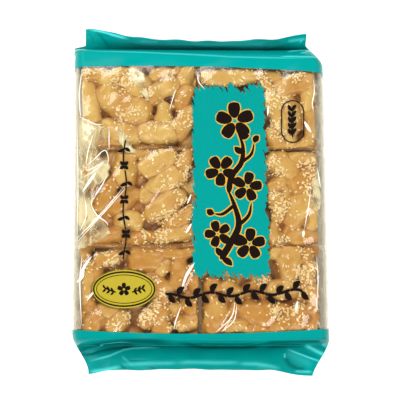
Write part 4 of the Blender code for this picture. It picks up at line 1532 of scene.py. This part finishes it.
def add_wraps(film):
    """The inner wraps: crumpled flaps, painted glints laid over the front film, pleats down both sides and
    the seams.
    """
    sheets = [flap(film, *row) for row in FLAPS]
    points, faces = joined([sheet[:2] for sheet in sheets])
    white = np.concatenate([sheet[2] for sheet in sheets])
    crumpled = clear_film("crumpled cellophane", None, 3.0, "#D6CEB0")
    make_piece("wrap_flaps", points, faces, crumpled, "film_pack", (white,))
    # Painted highlights: milky white ribbons that stand in for glints on pinched film.
    glint_ribbons = joined([brush_stroke(film, path, width, "leaf", 0.05) for path, width in PAINTED_GLINT_STREAKS])
    make_piece("painted_film_glints", *glint_ribbons, clear_film("painted film glint", 0.7, 3.0, "#FFFDF4"), "film_pack")
    # The right-hand tint is darker than the left: painted shade on the side turned from the key light.
    for side, name, tint in ((-1, "left", "#B4B0A4"), (1, "right", "#A3A098")):
        points, faces, milky = side_wraps(side)
        side_film = clear_film(f"pleated cellophane, {name}", None, 6.0, tint)
        make_piece(f"side_wraps_{name}", points, faces, side_film, "film_pack", (milky,))
    doubled = clear_film("doubled cellophane", 0.5, 5.0, "#B8864C")
    make_piece("seam_wraps", *seam_wraps(), doubled, "film_pack")


# Floor, light and camera


FLOOR_HALF = 6.0


def add_floor():
    """A plain floor of backlit white acrylic, wide enough to fill every view.

    It is matt and faintly clouded, and its glow keeps the pack's shadow soft and pale.
    """
    mesh = bpy.data.meshes.new("floor")
    corners = [(x * FLOOR_HALF, y * FLOOR_HALF, 0.0) for x, y in ((-1, -1), (1, -1), (1, 1), (-1, 1))]
    mesh.from_pydata(corners, [], [(0, 1, 2, 3)])
    material, tree, output, place = new_material("backlit white acrylic")
    links = {"Vector": place, "Scale": PER_MM / 60.0, "Detail": 3.0}
    cloud = add_node(tree, "ShaderNodeTexNoise", links).outputs["Fac"]
    links = {0: cloud, 6: linear("#F6F6F4"), 7: linear("#FAFAF8")}
    tone = add_node(tree, "ShaderNodeMix", links, data_type="RGBA").outputs[2]
    links = {"Base Color": tone, "Roughness": 0.9, "Emission Color": tone, "Emission Strength": 0.18}
    shader = add_node(tree, "ShaderNodeBsdfPrincipled", links)
    tree.links.new(shader.outputs["BSDF"], output.inputs["Surface"])
    mesh.materials.append(material)
    floor = bpy.data.objects.new("floor", mesh)
    bpy.context.scene.collection.objects.link(floor)


def add_softbox(name, direction, distance, size, radiance):
    """A square light that faces the pack; its power gives the wanted radiance over its area."""
    direction = np.array(direction) / np.linalg.norm(direction)
    light = bpy.data.lights.new(name, "AREA")
    light.shape = "RECTANGLE"
    light.size, light.size_y = size
    light.energy = radiance * math.pi * size[0] * size[1]
    box = bpy.data.objects.new(name, light)
    box.location = direction * distance
    box.rotation_euler = Vector(direction).to_track_quat("Z", "Y").to_euler()
    bpy.context.scene.collection.objects.link(box)


WALLS_RADIANCE = 0.85


def add_light():
    """Soft studio light: a key from the upper left, two lower fills, pale walls and a dark ceiling.

    The dark ceiling stands where the flat film would mirror it, so the film stays clear from above.
    """
    add_softbox("key", (-0.45, 0.6, 0.85), 1.8, (1.3, 1.3), 5.7)
    add_softbox("second", (0.55, -0.4, 0.9), 1.6, (0.7, 0.7), 7.0)
    add_softbox("front fill", (-0.1, -0.65, 0.8), 1.8, (1.0, 0.5), 11.0)
    world = bpy.data.worlds.new("studio")
    world.use_nodes = True
    tree = world.node_tree
    direction = add_node(tree, "ShaderNodeTexCoord").outputs["Generated"]
    up = add_node(tree, "ShaderNodeSeparateXYZ", {"Vector": direction}).outputs["Z"]
    links = {"Value": up, "From Min": 0.85, "From Max": 0.94, "To Min": 1.0, "To Max": 0.05}
    level = add_node(tree, "ShaderNodeMapRange", links).outputs["Result"]
    background = tree.nodes["Background"]
    tree.links.new(level, background.inputs["Color"])
    background.inputs["Strength"].default_value = WALLS_RADIANCE
    bpy.context.scene.world = world


SENSOR_WIDTH_MM = 36.0
CAMERA_HEIGHT_ANGLE = 85.0
CAMERA_DISTANCE = 0.8
VIEW_WIDTH = 0.2856


def add_camera():
    """A long lens that looks down on the pack, a little from the lower seal's side."""
    camera = bpy.data.cameras.new("camera")
    camera.sensor_width = SENSOR_WIDTH_MM
    camera.lens = SENSOR_WIDTH_MM * CAMERA_DISTANCE / VIEW_WIDTH
    holder = bpy.data.objects.new("camera", camera)
    angle = math.radians(CAMERA_HEIGHT_ANGLE)
    target = (np.array([0.0, -0.85, 18.0]) + MIDDLE) * MM
    holder.location = target + CAMERA_DISTANCE * np.array([0.0, -math.cos(angle), math.sin(angle)])
    holder.rotation_euler = (math.radians(90.0 - CAMERA_HEIGHT_ANGLE), 0.0, 0.0)
    bpy.context.scene.collection.objects.link(holder)
    bpy.context.scene.camera = holder


def main():
    film = add_wrinkles(stretched(blocks_top(add_blocks())))
    add_bag(film)
    add_print(film)
    add_wraps(film)
    add_floor()
    add_light()
    add_camera()
    scene = bpy.context.scene
    scene.view_settings.view_transform = "Standard"
    scene.cycles.transparent_max_bounces = 24


main()
